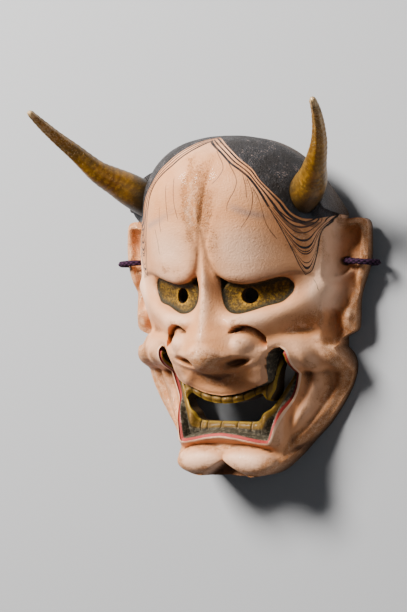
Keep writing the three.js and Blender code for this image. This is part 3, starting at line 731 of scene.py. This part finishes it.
# painted lines of the right half, drawn millimetres: hair strands from the parting to the temple
strandLow = curve([(0, 101.5), (2.3, 99.9), (12.4, 93.1), (20.1, 86.5), (25.8, 82.6), (31.2, 78.1),
                   (35.2, 73.2), (38.6, 67.6), (41.3, 61.4), (44, 54.6), (46.7, 47.4), (49.1, 40.2),
                   (51.2, 33.2), (53.1, 25.9), (55.3, 19)], 3)
templeEdge = curve([(55.3, 19), (59.3, 22.2), (62.1, 32.9), (63.3, 43.6), (65.4, 49.8), (68.3, 57.1),
                    (72, 62)], 3)
capEdge = curve([(-6, 106), (5.7, 102.7), (16.9, 95.6), (25.1, 89), (32.4, 83.2), (37.3, 76.4), (42.7, 70.3),
                 (48, 63.6), (50.5, 58.7), (53.5, 55.1), (57.6, 53.3), (64.7, 54), (67.8, 56.3), (73, 58.6),
                 (90, 66)], 3)
wispPoints = [[(9.5, 94.1), (15, 87), (16.1, 82.6), (14, 78), (10.6, 74.4)],
              [(17.2, 89.4), (20.7, 84.4), (24, 79.4), (25.5, 74.5), (24.1, 69), (21.7, 64.8), (20.1, 60.9),
               (19.8, 57.6)],
              [(31.2, 76.9), (33.5, 71.4), (34.5, 65.3), (33.2, 57.5), (30.6, 52.1), (27.5, 47.6)],
              [(34.3, 72), (37, 66.3), (38.6, 59.4), (39.9, 51.6), (41.7, 46.2), (44.2, 41.6)],
              [(59.8, 15.9), (61.3, 12.9), (61.7, 10.4)], [(-22.7, 74), (-22.4, 62.5), (-21.7, 53)],
              [(-16.8, 78), (-16.3, 64), (-14.2, 54)], [(-28.6, 60), (-29.4, 52), (-28.8, 46)],
              [(-34.5, 47), (-33.4, 40), (-33.6, 33)], [(28.5, 79), (30.8, 72), (31.2, 66)]]
rightSmudge = curve([(19.5, 60.8), (22.1, 60), (27.3, 57.8), (32.2, 56), (37.1, 55.2), (42, 54)], 4)
leftSmudge = curve([(-18.2, 58.3), (-23.4, 55.4), (-31.1, 52.6), (-41.9, 50)], 4)
# line height and half width of the temple's hanging loops; share and half width of the strands above them
loopLines = [(51.0, 0.5), (48.1, 0.5), (44.6, 0.28), (40.0, 0.55), (35.6, 0.6), (33.2, 0.22), (31.8, 0.3),
             (26.4, 0.22), (23.2, 0.7), (19.9, 0.2), (17.6, 0.12), (11, 0.18)]
strandLines = [(0.42, 0.07), (0.8, 0.07)]
loopSag = {"stations": [(18, 4), (30, 7), (45, 10), (60, 12)], "power": 2.2, "edge": 9, "edgePower": 5}
# soft patches of wear, of wear with painted shade, of painted shade and of painted highlight, with painted
# light on the shaded temple: weight, centre x, centre y, half width, half height, turn, power
patches = {
    "wearAndShade": [(0.75, -6, 62, 5, 24), (0.5, 4, 57, 8, 22, 0, 1.3), (0.3, 2, 85, 9, 16), (0.75, 3, -36, 13, 9),
             (0.35, -1, -14, 4, 20), (0.55, 54, -8, 13, 7, 0.4), (0.4, -30, 22, 12, 5), (0.3, 10, 32, 5, 14),
             (0.5, 6, -45, 12, 5), (1.2, -62, -55, 12, 36, 0.35), (0.45, 62, -50, 10, 30, -0.4)],
    # wear on both halves; the patch under the lower lip is painted shade in its hollow
    "wearAndShadePairs": [(0.35, 20, -14, 10, 4), (0.45, 12, -88, 18, 4), (0.15, 74, -3, 7, 14),
                  (0.6, 57, 40, 9, 15)],
    # painted light: the temple's side wall kept pale though it lies in shade
    "paintedLitPatches": [(0.65, 64, 13, 8, 16, 0.2), (0.25, 66, 42, 7, 16)],
    # painted shade in the ear's hollows, at the nostrils and under the nose
    "paintedShadePairs": [(0.12, 76, 41, 5, 8), (0.2, 76, 13, 4, 8), (0.4, 17, -35, 7, 2.2, 0.22),
                  (0.45, 0, -43, 10, 4.5), (0.3, 12, -39, 8, 2.6, 0.2)],
    # painted highlight patches, on the nose bridge and in pairs on the lit forms
    "highlightTint": [(0.6, -0.5, -2, 2.2, 22)],
    "highlightPairs": [(0.95, 25, 33, 17, 15, 0, 1.2), (0.85, 15, -96, 14, 6), (0.45, 22, -8, 15, 4),
                  (0.5, 20, -22, 6, 5), (0.5, 51, -55, 5, 20, -0.3), (0.75, 62, 12, 9, 11, 0.4)]}
# colours of the face; among them a painted highlight, a brown painted shade for hollows and undersides, a
# near-black painted shade for sunk walls, a dark grey painted shade at the teeth's roots, a painted sheen on
# the black cap, and a tan that is wear and also painted shade in the hollows
faceColors = {
    "skin": (0.67, 0.285, 0.115), "skinLight": (0.78, 0.375, 0.18), "highlightTint": (0.96, 0.60, 0.40),
    "wearAndShade": (0.45, 0.17, 0.048), "speck": (0.88, 0.58, 0.38), "paintedShade": (0.10, 0.045, 0.02),
    "smudge": (0.23, 0.19, 0.18), "ink": (0.008, 0.009, 0.012),
    "cap": (0.006, 0.008, 0.011), "capSheen": (0.030, 0.041, 0.056), "capEdge": (0.035, 0.026, 0.022),
    "capWorn": (0.27, 0.20, 0.18), "eyeDark": (0.065, 0.036, 0.006), "eyeGold": (0.20, 0.108, 0.007),
    "eyeBright": (0.40, 0.20, 0.01), "eyeRim": (0.012, 0.011, 0.005), "goldDark": (0.14, 0.075, 0.012),
    "gold": (0.17, 0.09, 0.006), "goldLight": (0.38, 0.235, 0.02), "deepShade": (0.022, 0.018, 0.012),
    "deepShadeDark": (0.05, 0.042, 0.028), "deepShadeLight": (0.17, 0.145, 0.10), "split": (0.42, 0.30, 0.16),
    "scallop": (0.03, 0.018, 0.005), "red": (0.30, 0.024, 0.02), "redLight": (0.39, 0.052, 0.042),
    "lip": (0.92, 0.62, 0.43), "wood": (0.05, 0.026, 0.014), "back": (0.10, 0.055, 0.028)}
# finish of the paint: roughness of each part, share of metal in the gilding, bump depth in metres
faceFinish = {"skin": 0.46, "rubbedAndShaded": 0.68, "cap": 0.26, "capWorn": 0.6, "gilt": 0.56, "wood": 0.5,
              "metal": 0.3, "coat": 0.05, "specular": 0.27, "grain": 0.34, "bump": 0.0013, "bumpStrength": 0.9}


# how far each point lies below or above its surroundings, from a blurred copy of the carved form
def hollowness(x, y, reach):
    step = 1.5
    gx = np.arange(-96, 97, step)
    gy = np.arange(-116, 117, step)
    mx, my = np.meshgrid(gx, gy)
    form = frontForm(mx.ravel(), my.ravel()).reshape(mx.shape)
    kernel = np.exp(-(np.arange(-8, 9) * step / reach) ** 2)
    kernel /= kernel.sum()

    def soften(row):
        return np.convolve(np.pad(row, 8, mode="edge"), kernel, mode="valid")

    gap = np.apply_along_axis(soften, 0, np.apply_along_axis(soften, 1, form)) - form
    fx = np.clip((x - gx[0]) / step, 0, len(gx) - 1.001)
    fy = np.clip((y - gy[0]) / step, 0, len(gy) - 1.001)
    i = fx.astype(int)
    j = fy.astype(int)
    u = fx - i
    v = fy - j
    below = gap[j, i] * (1 - u) + gap[j, i + 1] * u
    above = gap[j + 1, i] * (1 - u) + gap[j + 1, i + 1] * u
    return below * (1 - v) + above * v


def patchSum(x, y, name):
    return sum(weight * bump(x, y, *place) for weight, *place in patches[name])


def paintFields(face):
    x, y, z = toDrawn(getPoints(face)).T
    ax = np.abs(x)
    mouthD, mouthIn, upper = mouthPlace(ax, y)
    whole = frontForm(x, y, False)
    mouthHere = (ax < 48) & (mouthIn > -0.02)
    backRise = np.maximum(rimForm(x, y), hollowForm(x, y))
    lowSigned = near(ax, y, strandLow)[1]
    capSigned = near(ax, y, capEdge)[1]
    sideSigned = near(ax, y, templeEdge)[1]
    # hanging loops: level lines that sag between the strand line and the temple's edge
    across = np.abs(lowSigned) / (np.abs(lowSigned) + np.abs(sideSigned) + 0.01)
    span = np.abs(2 * across - 1)
    sag = span ** loopSag["power"] * pick(y, loopSag["stations"])
    sag = sag + loopSag["edge"] * span ** loopSag["edgePower"]
    wispD = np.full(x.shape, 9.0)
    wispSigned = np.full(x.shape, 9.0)
    for points in wispPoints:
        d, signed, along = near(x, y, curve(points, 4))
        hit = d < wispD
        wispD[hit] = d[hit]
        wispSigned[hit] = signed[hit]
    near1, s1, a1 = near(x, y, rightSmudge)
    near2, s2, a2 = near(x, y, leftSmudge)
    smudge = 0.75 * bell(near1 / 2.4) * smooth(a1, 0, 0.4) * (1 - 0.7 * smooth(a1, 0.75, 1))
    smudge += 0.7 * bell(near2 / 2.2) * (0.35 + 0.65 * smooth(a2, 0, 0.8))
    deep = hollowness(x, y, 4.5)
    wide = hollowness(x, y, 9)
    edge = -within(x, y, outline)
    wearAndShade = 0.25 + patchSum(x, y, "wearAndShade") + patchSum(ax, y, "wearAndShadePairs")
    wearAndShade += 0.35 * smooth(ax, 62, 74) * smooth(58 - y, 0, 4) * smooth(y, -30, -22)
    wearAndShade += 0.6 * bell(edge / 5) * smooth(-y, -60, -45)
    # the first term is painted shade, warm tan in the broad hollows; the second is wear on raised points
    wearAndShade += 0.55 * smooth(wide, 0.5, 2.6) * (1 - smooth(ax, 54, 62)) + 0.25 * smooth(-deep, 0.7, 1.8)
    # painted light: less tan on the temple's side wall, so it reads lit though the key lamp leaves it in shade
    wearAndShade *= 1 - patchSum(ax, y, "paintedLitPatches")
    # painted shade: brown darkening in hollows and creases, under the brow's edge, in the ear's hollows, at
    # the nostrils, under the nose and on the underside seen in the chin's cleft
    paintedShade = 0.9 * smooth(deep, 0.9, 3.2) + 0.35 * smooth(wide, 1.5, 5)
    paintedShade *= 1 - 0.9 * smooth(ax, 54, 63) * smooth(62 - y, 0, 4)
    paintedShade += patchSum(ax, y, "paintedShadePairs") + 0.75 * cleft(ax, y) * smooth(-y, 80, 92)
    browDistance = -near(ax, y, browLine)[1]
    paintedShade += 0.55 * smooth(browDistance, 1.6, 0) * smooth(browDistance + 2.5, 0, 1.2) * (ax < 60)
    # painted highlight: paler paint on the forehead and chin lobes, nose bridge, nose wings, cheeks, jaw sides
    # and raised forms, and on the temple's side and the tragus, which lie in shade
    highlightTint = patchSum(x, y, "highlightTint") + patchSum(ax, y, "highlightPairs") + 0.45 * smooth(-wide, 0.8, 3)
    highlightTint += 0.9 * bell(near(ax, y, tragusLine)[0] / 3.2) + 0.6 * bell(near(ax, y, antitragusLine)[0] / 2)
    fields = {
        "eyeLine": within(ax, y, eyeRing), "lipLine": -mouthIn, "gapLine": -within(ax, y, gapRing),
        "mouthUpper": upper, "below": np.clip(whole - z, -1, 40),
        "sunk": np.where(mouthHere, mouthForm(x, y), whole) - z,
        "backSide": 1 - smooth(z - backRise, 0.3, 1.6),
        "capLine": capSigned, "strandShare": lowSigned / (np.abs(lowSigned) + np.abs(capSigned) + 0.01),
        "strandLine": lowSigned, "loopLevel": y - sag, "templeSide": np.where(y < 60, sideSigned, 6),
        "templeMask": np.where((y < 60) & (ax > 40), 1.0, 0.0), "wispLine": np.clip(wispSigned, -3, 3),
        "wispMask": clamp(1.5 - wispD), "smudge": clamp(smudge), "wearAndShade": clamp(wearAndShade), "paintedShade": clamp(paintedShade),
        "paintedHighlight": clamp(highlightTint), "topEdge": smooth(-edge, -9, 0) * smooth(y, 52, 62)}
    for name, values in fields.items():
        setField(face, name, values)


# node helpers add to the tree on the canvas; a value is a number, a colour or another node's socket
canvas = {}


def newNode(kind):
    return canvas["tree"].nodes.new(kind)


def join(socket, value):
    if isinstance(value, bpy.types.NodeSocket):
        canvas["tree"].links.new(value, socket)
    elif isinstance(value, tuple) and len(value) == 3 and len(socket.default_value) == 4:
        socket.default_value = (*value, 1)
    else:
        socket.default_value = value


# values for a node's inputs, by name or number
def feed(node, values):
    for name, value in values.items():
        join(node.inputs[name], value)


def mathNode(operation, a, b=0.0, limit=False):
    node = newNode("ShaderNodeMath")
    node.operation = operation
    node.use_clamp = limit
    feed(node, {0: a, 1: b})
    return node.outputs[0]


def chained(operation):
    def chain(*values):
        out = values[0]
        for value in values[1:]:
            out = mathNode(operation, out, value)
        return out

    return chain


maximum = chained("MAXIMUM")
times = chained("MULTIPLY")
plus = chained("ADD")


def minus(a, b):
    return mathNode("SUBTRACT", a, b)


def waveNode(value):
    return mathNode("ABSOLUTE", mathNode("SINE", value))


def stepNode(value, low, high, start=0.0, end=1.0):
    node = newNode("ShaderNodeMapRange")
    node.interpolation_type = "SMOOTHSTEP"
    feed(node, {"Value": value, "From Min": low, "From Max": high, "To Min": start, "To Max": end})
    return node.outputs["Result"]


# 1 within width of value = place, 0 beyond
def lineNode(value, place, width, soft=0.25):
    return stepNode(mathNode("ABSOLUTE", minus(value, place)), width + soft, width)


def mixNode(factor, a, b):
    node = newNode("ShaderNodeMix")
    node.data_type = "RGBA"
    feed(node, {0: factor, 6: a, 7: b})
    return node.outputs[2]


# colours laid one over another, each with its own mask
def layers(base, coats):
    for factor, color in coats:
        base = mixNode(factor, base, color)
    return base


def blendValue(factor, a, b):
    node = newNode("ShaderNodeMix")
    feed(node, {0: factor, 2: a, 3: b})
    return node.outputs[0]


def fieldNode(name):
    node = newNode("ShaderNodeAttribute")
    node.attribute_name = name
    return node.outputs["Fac"]


def objectPlace():
    return newNode("ShaderNodeTexCoord").outputs["Object"]


def noiseNode(place, scale, detail=4.0, rough=0.55, distortion=0.0):
    node = newNode("ShaderNodeTexNoise")
    feed(node, {"Vector": place, "Scale": scale, "Detail": detail, "Roughness": rough,
                "Distortion": distortion})
    return node.outputs["Fac"]


# shared effect: fine rubbed-through specks, more of them where Amount is high
def speckGroup():
    tree = bpy.data.node_groups.new("rubbedSpecks", "ShaderNodeTree")
    canvas["tree"] = tree
    for name, way, kind in (("Place", "INPUT", "Vector"), ("Amount", "INPUT", "Float"),
                            ("Size", "INPUT", "Float"), ("Mask", "OUTPUT", "Float"),
                            ("Patches", "OUTPUT", "Float")):
        tree.interface.new_socket(name, in_out=way, socket_type="NodeSocket" + kind)
    start = newNode("NodeGroupInput")
    end = newNode("NodeGroupOutput")
    scaled = newNode("ShaderNodeVectorMath")
    scaled.operation = "SCALE"
    feed(scaled, {0: start.outputs["Place"], "Scale": start.outputs["Size"]})
    fine = noiseNode(scaled.outputs[0], 1100, 3, 0.7)
    broad = noiseNode(scaled.outputs[0], 130, 5, 0.62)
    level = minus(0.80, times(start.outputs["Amount"], 0.36))
    mixed = plus(times(fine, 0.62), times(broad, 0.38))
    feed(end, {"Mask": stepNode(mixed, minus(level, 0.04), level), "Patches": stepNode(broad, 0.35, 0.7)})
    return tree


specks = speckGroup()


def speckNode(place, amount, size=1.0):
    node = newNode("ShaderNodeGroup")
    node.node_tree = specks
    feed(node, {"Place": place, "Amount": amount, "Size": size})
    return node.outputs["Mask"], node.outputs["Patches"]


def newMaterial(name):
    material = bpy.data.materials.new(name)
    material.use_nodes = True
    canvas["tree"] = material.node_tree
    return material, material.node_tree.nodes["Principled BSDF"]


def dress(piece, material):
    piece.data.materials.clear()
    piece.data.materials.append(material)


def bumpNode(shader, height, distance, strength=1.0):
    node = newNode("ShaderNodeBump")
    feed(node, {"Distance": distance, "Strength": strength, "Height": height})
    join(shader.inputs["Normal"], node.outputs["Normal"])


# hair strands, temple loops and stray hairs in ink
def inkCoats(place):
    strand = fieldNode("strandLine")
    level = fieldNode("loopLevel")
    temple = fieldNode("templeMask")
    side = fieldNode("templeSide")
    inTemple = stepNode(side, -0.3, 0.0)
    strands = maximum(lineNode(strand, 0.2, 0.5, 0.2),
                      *[lineNode(fieldNode("strandShare"), at, width, 0.03) for at, width in strandLines])
    strands = times(strands, maximum(stepNode(level, 38, 52), minus(1.0, temple)), inTemple,
                    stepNode(strand, -1.2, -0.9), stepNode(fieldNode("capLine"), 1.5, 0.5))
    loops = maximum(*[lineNode(level, at, width) for at, width in loopLines],
                    lineNode(side, 0.2, 0.12), lineNode(strand, 0.1, 0.12))
    loops = times(loops, temple, inTemple, stepNode(strand, -0.25, 0.0))
    wisps = times(lineNode(fieldNode("wispLine"), 0.0, 0.12, 0.25),
                  stepNode(fieldNode("wispMask"), 0.05, 0.6))
    fade = blendValue(stepNode(noiseNode(place, 90, 3, 0.5), 0.35, 0.55), 0.45, 1.0)
    return [(times(wisps, 0.75, fade), faceColors["ink"]),
            (times(maximum(strands, loops), blendValue(fade, 0.8, 1.0)), faceColors["ink"])]


# gilt eyes with dark borders and a bright ring round the pupil
def eyeColor(place, xmm, ymm, eyeLine):
    px = minus(mathNode("ABSOLUTE", xmm), pupilPlace[0])
    py = minus(ymm, pupilPlace[1] - drawnCentreY)
    pupilFar = mathNode("SQRT", plus(times(px, px), times(py, py)))
    mottle = noiseNode(place, 620, 4, 0.7)
    gilding = mixNode(stepNode(mottle, 0.44, 0.6), faceColors["eyeDark"], faceColors["eyeGold"])
    return layers(gilding, [(times(stepNode(pupilFar, 7.4, 5.0), stepNode(mottle, 0.4, 0.56)),
                             faceColors["eyeBright"]),
                            (times(stepNode(eyeLine, 4.0, 0.9), 0.85), faceColors["eyeRim"])])


# red band, painted shade at the roots of the teeth and gilt teeth; also gives the lines between the lower
# teeth
def mouthColor(place, xmm, ymm, depth, upperMouth, lowerMouth, cloudy):
    c = faceColors
    gap = fieldNode("gapLine")
    share = mathNode("DIVIDE", depth, plus(maximum(depth, 0.0), maximum(gap, 0.0), 0.05))
    streak = noiseNode(place, 420, 4, 0.7)
    gold = mixNode(stepNode(streak, 0.38, 0.66), c["goldDark"], c["gold"])
    gold = mixNode(times(stepNode(gap, 1.3, 0.3), blendValue(streak, 0.5, 1.0)), gold, c["goldLight"])
    # painted shade: a dark grey band at the roots of the teeth under the lips
    deepShade = mixNode(stepNode(streak, 0.46, 0.66), c["deepShadeDark"], c["deepShadeLight"])
    toothShare = blendValue(upperMouth, 0.5, 0.02)
    splits = times(maximum(*[lineNode(xmm, at, 0.25, 0.5) for at in lowerSplits[:-1]]),
                   stepNode(ymm, -72, -74), stepNode(share, 0.44, 0.52))
    scallop = waveNode(plus(times(xmm, scallopWave["turns"]), scallopWave["start"]))
    red = mixNode(stepNode(cloudy, 0.3, 0.7), c["red"], c["redLight"])
    mouth = layers(deepShade, [(stepNode(share, toothShare, plus(toothShare, 0.16)), gold),
                         (times(splits, 0.4), c["split"]),
                         (times(stepNode(scallop, 0.26, 0.06), upperMouth, 0.7), c["scallop"]),
                         (times(stepNode(depth, 1.9, 1.5), lowerMouth), red)])
    return mouth, splits


def facePaint():
    material, shader = newMaterial("gofunPaint")
    c = faceColors
    finish = faceFinish
    place = objectPlace()
    wearAndShade = fieldNode("wearAndShade")
    paintedShade = fieldNode("paintedShade")
    speck, patchy = speckNode(place, wearAndShade)
    lightSpeck = speckNode(place, times(wearAndShade, 0.75), 1.9)[0]
    cloudy = noiseNode(place, 38, 5, 0.6)
    # rubbed paint together with the painted shade in the hollows
    rubbedAndShaded = times(wearAndShade, blendValue(patchy, 0.45, 0.85))
    # black cap with painted sheen in blue-grey patches and a rubbed upper edge
    capNoise = noiseNode(place, 260, 5, 0.7)
    capMask = stepNode(fieldNode("capLine"), -0.15, 0.25)
    topEdge = fieldNode("topEdge")
    capSpeck, capSheen = speckNode(place, blendValue(topEdge, 0.0, 0.52), 0.8)
    cap = layers(c["cap"], [(capSheen, c["capSheen"]), (times(topEdge, 0.5), c["capEdge"]),
                            (times(capSpeck, blendValue(topEdge, 0.25, 0.75)), c["capWorn"])])
    separate = newNode("ShaderNodeSeparateXYZ")
    join(separate.inputs[0], place)
    xmm = times(separate.outputs["X"], 1000.0)
    ymm = times(separate.outputs["Y"], 1000.0)
    eyeLine = fieldNode("eyeLine")
    eyeMask = stepNode(eyeLine, -0.35, 0.1)
    lip = fieldNode("lipLine")
    depth = times(lip, -1.0)
    upperMouth = fieldNode("mouthUpper")
    lowerMouth = minus(1.0, upperMouth)
    inside = times(stepNode(fieldNode("below"), 0.35, 0.6), stepNode(lip, 0.35, 0.15))
    mouth, splits = mouthColor(place, xmm, ymm, depth, upperMouth, lowerMouth, cloudy)
    # painted shade: near-black paint on the walls sunk deep in the mouth and the pupils
    wall = times(stepNode(fieldNode("sunk"), 0.9, 1.7), stepNode(maximum(eyeLine, depth), 0.3, 1.2))
    # bare lacquered wood behind
    wood = mixNode(noiseNode(place, 55, 5, 0.65, 0.6), c["wood"], c["back"])
    backSide = fieldNode("backSide")
    front = minus(1.0, backSide)
    color = layers(c["skin"], [
        # painted highlight, then the tan of wear and of painted shade in the hollows
        (stepNode(cloudy, 0.35, 0.7), c["skinLight"]), (fieldNode("paintedHighlight"), c["highlightTint"]), (rubbedAndShaded, c["wearAndShade"]),
        (times(speck, 0.55), c["wearAndShade"]),
        (times(lightSpeck, 0.5, mathNode("SUBTRACT", 1.0, paintedShade, True)), c["speck"]),
        # painted shade over hollows, creases and undersides
        (times(paintedShade, blendValue(patchy, 0.7, 0.95)), c["paintedShade"]),
        (times(fieldNode("smudge"), blendValue(cloudy, 0.5, 0.9)), c["smudge"]), *inkCoats(place),
        (capMask, cap), (eyeMask, eyeColor(place, xmm, ymm, eyeLine)),
        (times(lineNode(lip, 0.7, 0.35, 0.35), lowerMouth, 0.8), c["lip"]),
        (inside, mouth), (times(wall, 0.93), c["deepShade"]), (backSide, wood)])
    gilt = times(maximum(times(eyeMask, stepNode(eyeLine, 0.8, 3.4)),
                         times(inside, stepNode(depth, 1.7, 2.4))), front)
    rough = blendValue(rubbedAndShaded, finish["skin"], finish["rubbedAndShaded"])
    capRough = blendValue(maximum(capSpeck, topEdge), finish["cap"], finish["capWorn"])
    rough = blendValue(capMask, rough, capRough)
    rough = blendValue(maximum(gilt, times(eyeMask, front)), rough, finish["gilt"])
    feed(shader, {"Base Color": color, "Metallic": times(gilt, finish["metal"]),
                  "Roughness": blendValue(backSide, rough, finish["wood"]), "Coat Weight": finish["coat"],
                  "Specular IOR Level": finish["specular"]})
    # sandy grain, pitted specks, the cap's rubbed rim and the grooves between teeth
    roughTop = times(capMask, blendValue(topEdge, 0.25, 1.0))
    amount = maximum(times(wearAndShade, 0.7), roughTop, finish["grain"])
    pits = minus(times(noiseNode(place, 820, 3, 0.65), amount), times(speck, 0.25))
    pits = minus(plus(pits, times(capNoise, roughTop, 1.4)), times(splits, inside, 0.9))
    bumpNode(shader, pits, finish["bump"], finish["bumpStrength"])
    return material


hornLook = {"mid": (0.26, 0.115, 0.005), "light": (0.42, 0.22, 0.018), "dark": (0.018, 0.011, 0.004),
            "tip": (0.47, 0.32, 0.16), "olive": (0.12, 0.06, 0.005), "rough": (0.26, 0.5), "metal": 0.3,
            "bump": 0.0005, "bumpStrength": 0.7}


def hornPaint(name, shift):
    material, shader = newMaterial(name)
    c = hornLook
    place = objectPlace()
    along = fieldNode("along")
    streaks = noiseNode(place, 70 + shift, 6, 0.65, 0.8)
    fine = noiseNode(place, 420, 4, 0.7)
    speck = speckNode(place, stepNode(along, 0.3, 1.0, 0.35, 0.85), 0.9)[0]
    base = stepNode(plus(along, times(streaks, 0.12)), 0.36, 0.14)
    tip = stepNode(plus(along, times(fine, 0.05)), 0.965, 1.0)
    color = layers(c["olive"], [(stepNode(streaks, 0.34, 0.66), c["mid"]),
                                (times(stepNode(fine, 0.46, 0.68), 0.6), c["light"]),
                                (times(base, 0.9), c["dark"]), (times(speck, 0.65), c["tip"]),
                                (tip, c["tip"])])
    feed(shader, {"Base Color": color, "Roughness": blendValue(fine, *c["rough"]),
                  "Metallic": times(stepNode(along, 0.25, 0.45), c["metal"])})
    bumpNode(shader, minus(times(fine, 0.5), times(speck, 0.4)), c["bump"], c["bumpStrength"])
    return material


cordLook = {"under": (0.006, 0.002, 0.008), "over": (0.045, 0.016, 0.042), "dust": (0.03, 0.018, 0.028),
            "rough": (0.7, 0.95), "specular": 0.12, "bump": 0.0004, "bumpStrength": 0.9}


def cordPaint():
    material, shader = newMaterial("braidedSilk")
    run = times(fieldNode("run"), math.pi)
    turn = times(fieldNode("turn"), 2.0)
    left = waveNode(plus(turn, run))
    right = waveNode(minus(turn, run))
    place = objectPlace()
    dust = noiseNode(place, 800, 3, 0.6)
    color = layers(cordLook["under"], [(stepNode(minus(left, right), -0.05, 0.05), cordLook["over"]),
                                       (times(stepNode(dust, 0.5, 0.8), 0.3), cordLook["dust"])])
    feed(shader, {"Base Color": color, "Roughness": blendValue(dust, *cordLook["rough"]),
                  "Specular IOR Level": cordLook["specular"]})
    fibres = noiseNode(place, 2600, 2, 0.6)
    bumpNode(shader, plus(maximum(left, right), times(fibres, 0.5)), cordLook["bump"],
             cordLook["bumpStrength"])
    return material


paintFields(facePiece)
makeActive(facePiece)
bpy.ops.object.shade_smooth_by_angle(angle=math.radians(carving["smoothAngle"]))
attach(facePiece, "root")
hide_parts("mask_face")
dress(facePiece, facePaint())
dress(leftHorn, hornPaint("leftHornLacquer", 0))
dress(rightHorn, hornPaint("rightHornLacquer", 9))
dress(cordPiece, cordPaint())
print("paint laid")


floorMake = {"size": 4.0, "color": (0.38, 0.40, 0.43), "rough": 0.85}


def addFloor():
    floor = newPiece("floor", bpy.ops.mesh.primitive_plane_add, size=floorMake["size"])
    material, shader = newMaterial("paleFloor")
    feed(shader, {"Base Color": floorMake["color"], "Roughness": floorMake["rough"]})
    dress(floor, material)


addFloor()

lighting = {"keyPlace": (-0.72, 0.84, 1.15), "keySize": 0.55, "keyPower": 93, "keyColor": (1, 0.94, 0.87),
            "fillPlace": (1.5, -0.1, 1.0), "fillSize": 1.4, "fillPower": 3.0, "fillColor": (1, 1, 1),
            "aim": (0, 0, 0.03), "sky": 0.075, "skyColor": (0.9, 0.93, 1, 1)}


def addLight(kind):
    data = bpy.data.lights.new(kind + "Light", "AREA")
    data.size = lighting[kind + "Size"]
    data.energy = lighting[kind + "Power"]
    data.color = lighting[kind + "Color"]
    light = bpy.data.objects.new(kind + "Light", data)
    bpy.context.scene.collection.objects.link(light)
    aim = Vector(lighting["aim"]) - Vector(lighting[kind + "Place"])
    light.rotation_euler = aim.to_track_quat("-Z", "Y").to_euler()
    light.location = lighting[kind + "Place"]


addLight("key")
addLight("fill")
world = bpy.data.worlds.new("paleRoom")
world.use_nodes = True
feed(world.node_tree.nodes["Background"], {"Color": lighting["skyColor"], "Strength": lighting["sky"]})
bpy.context.scene.world = world
print("stage set")
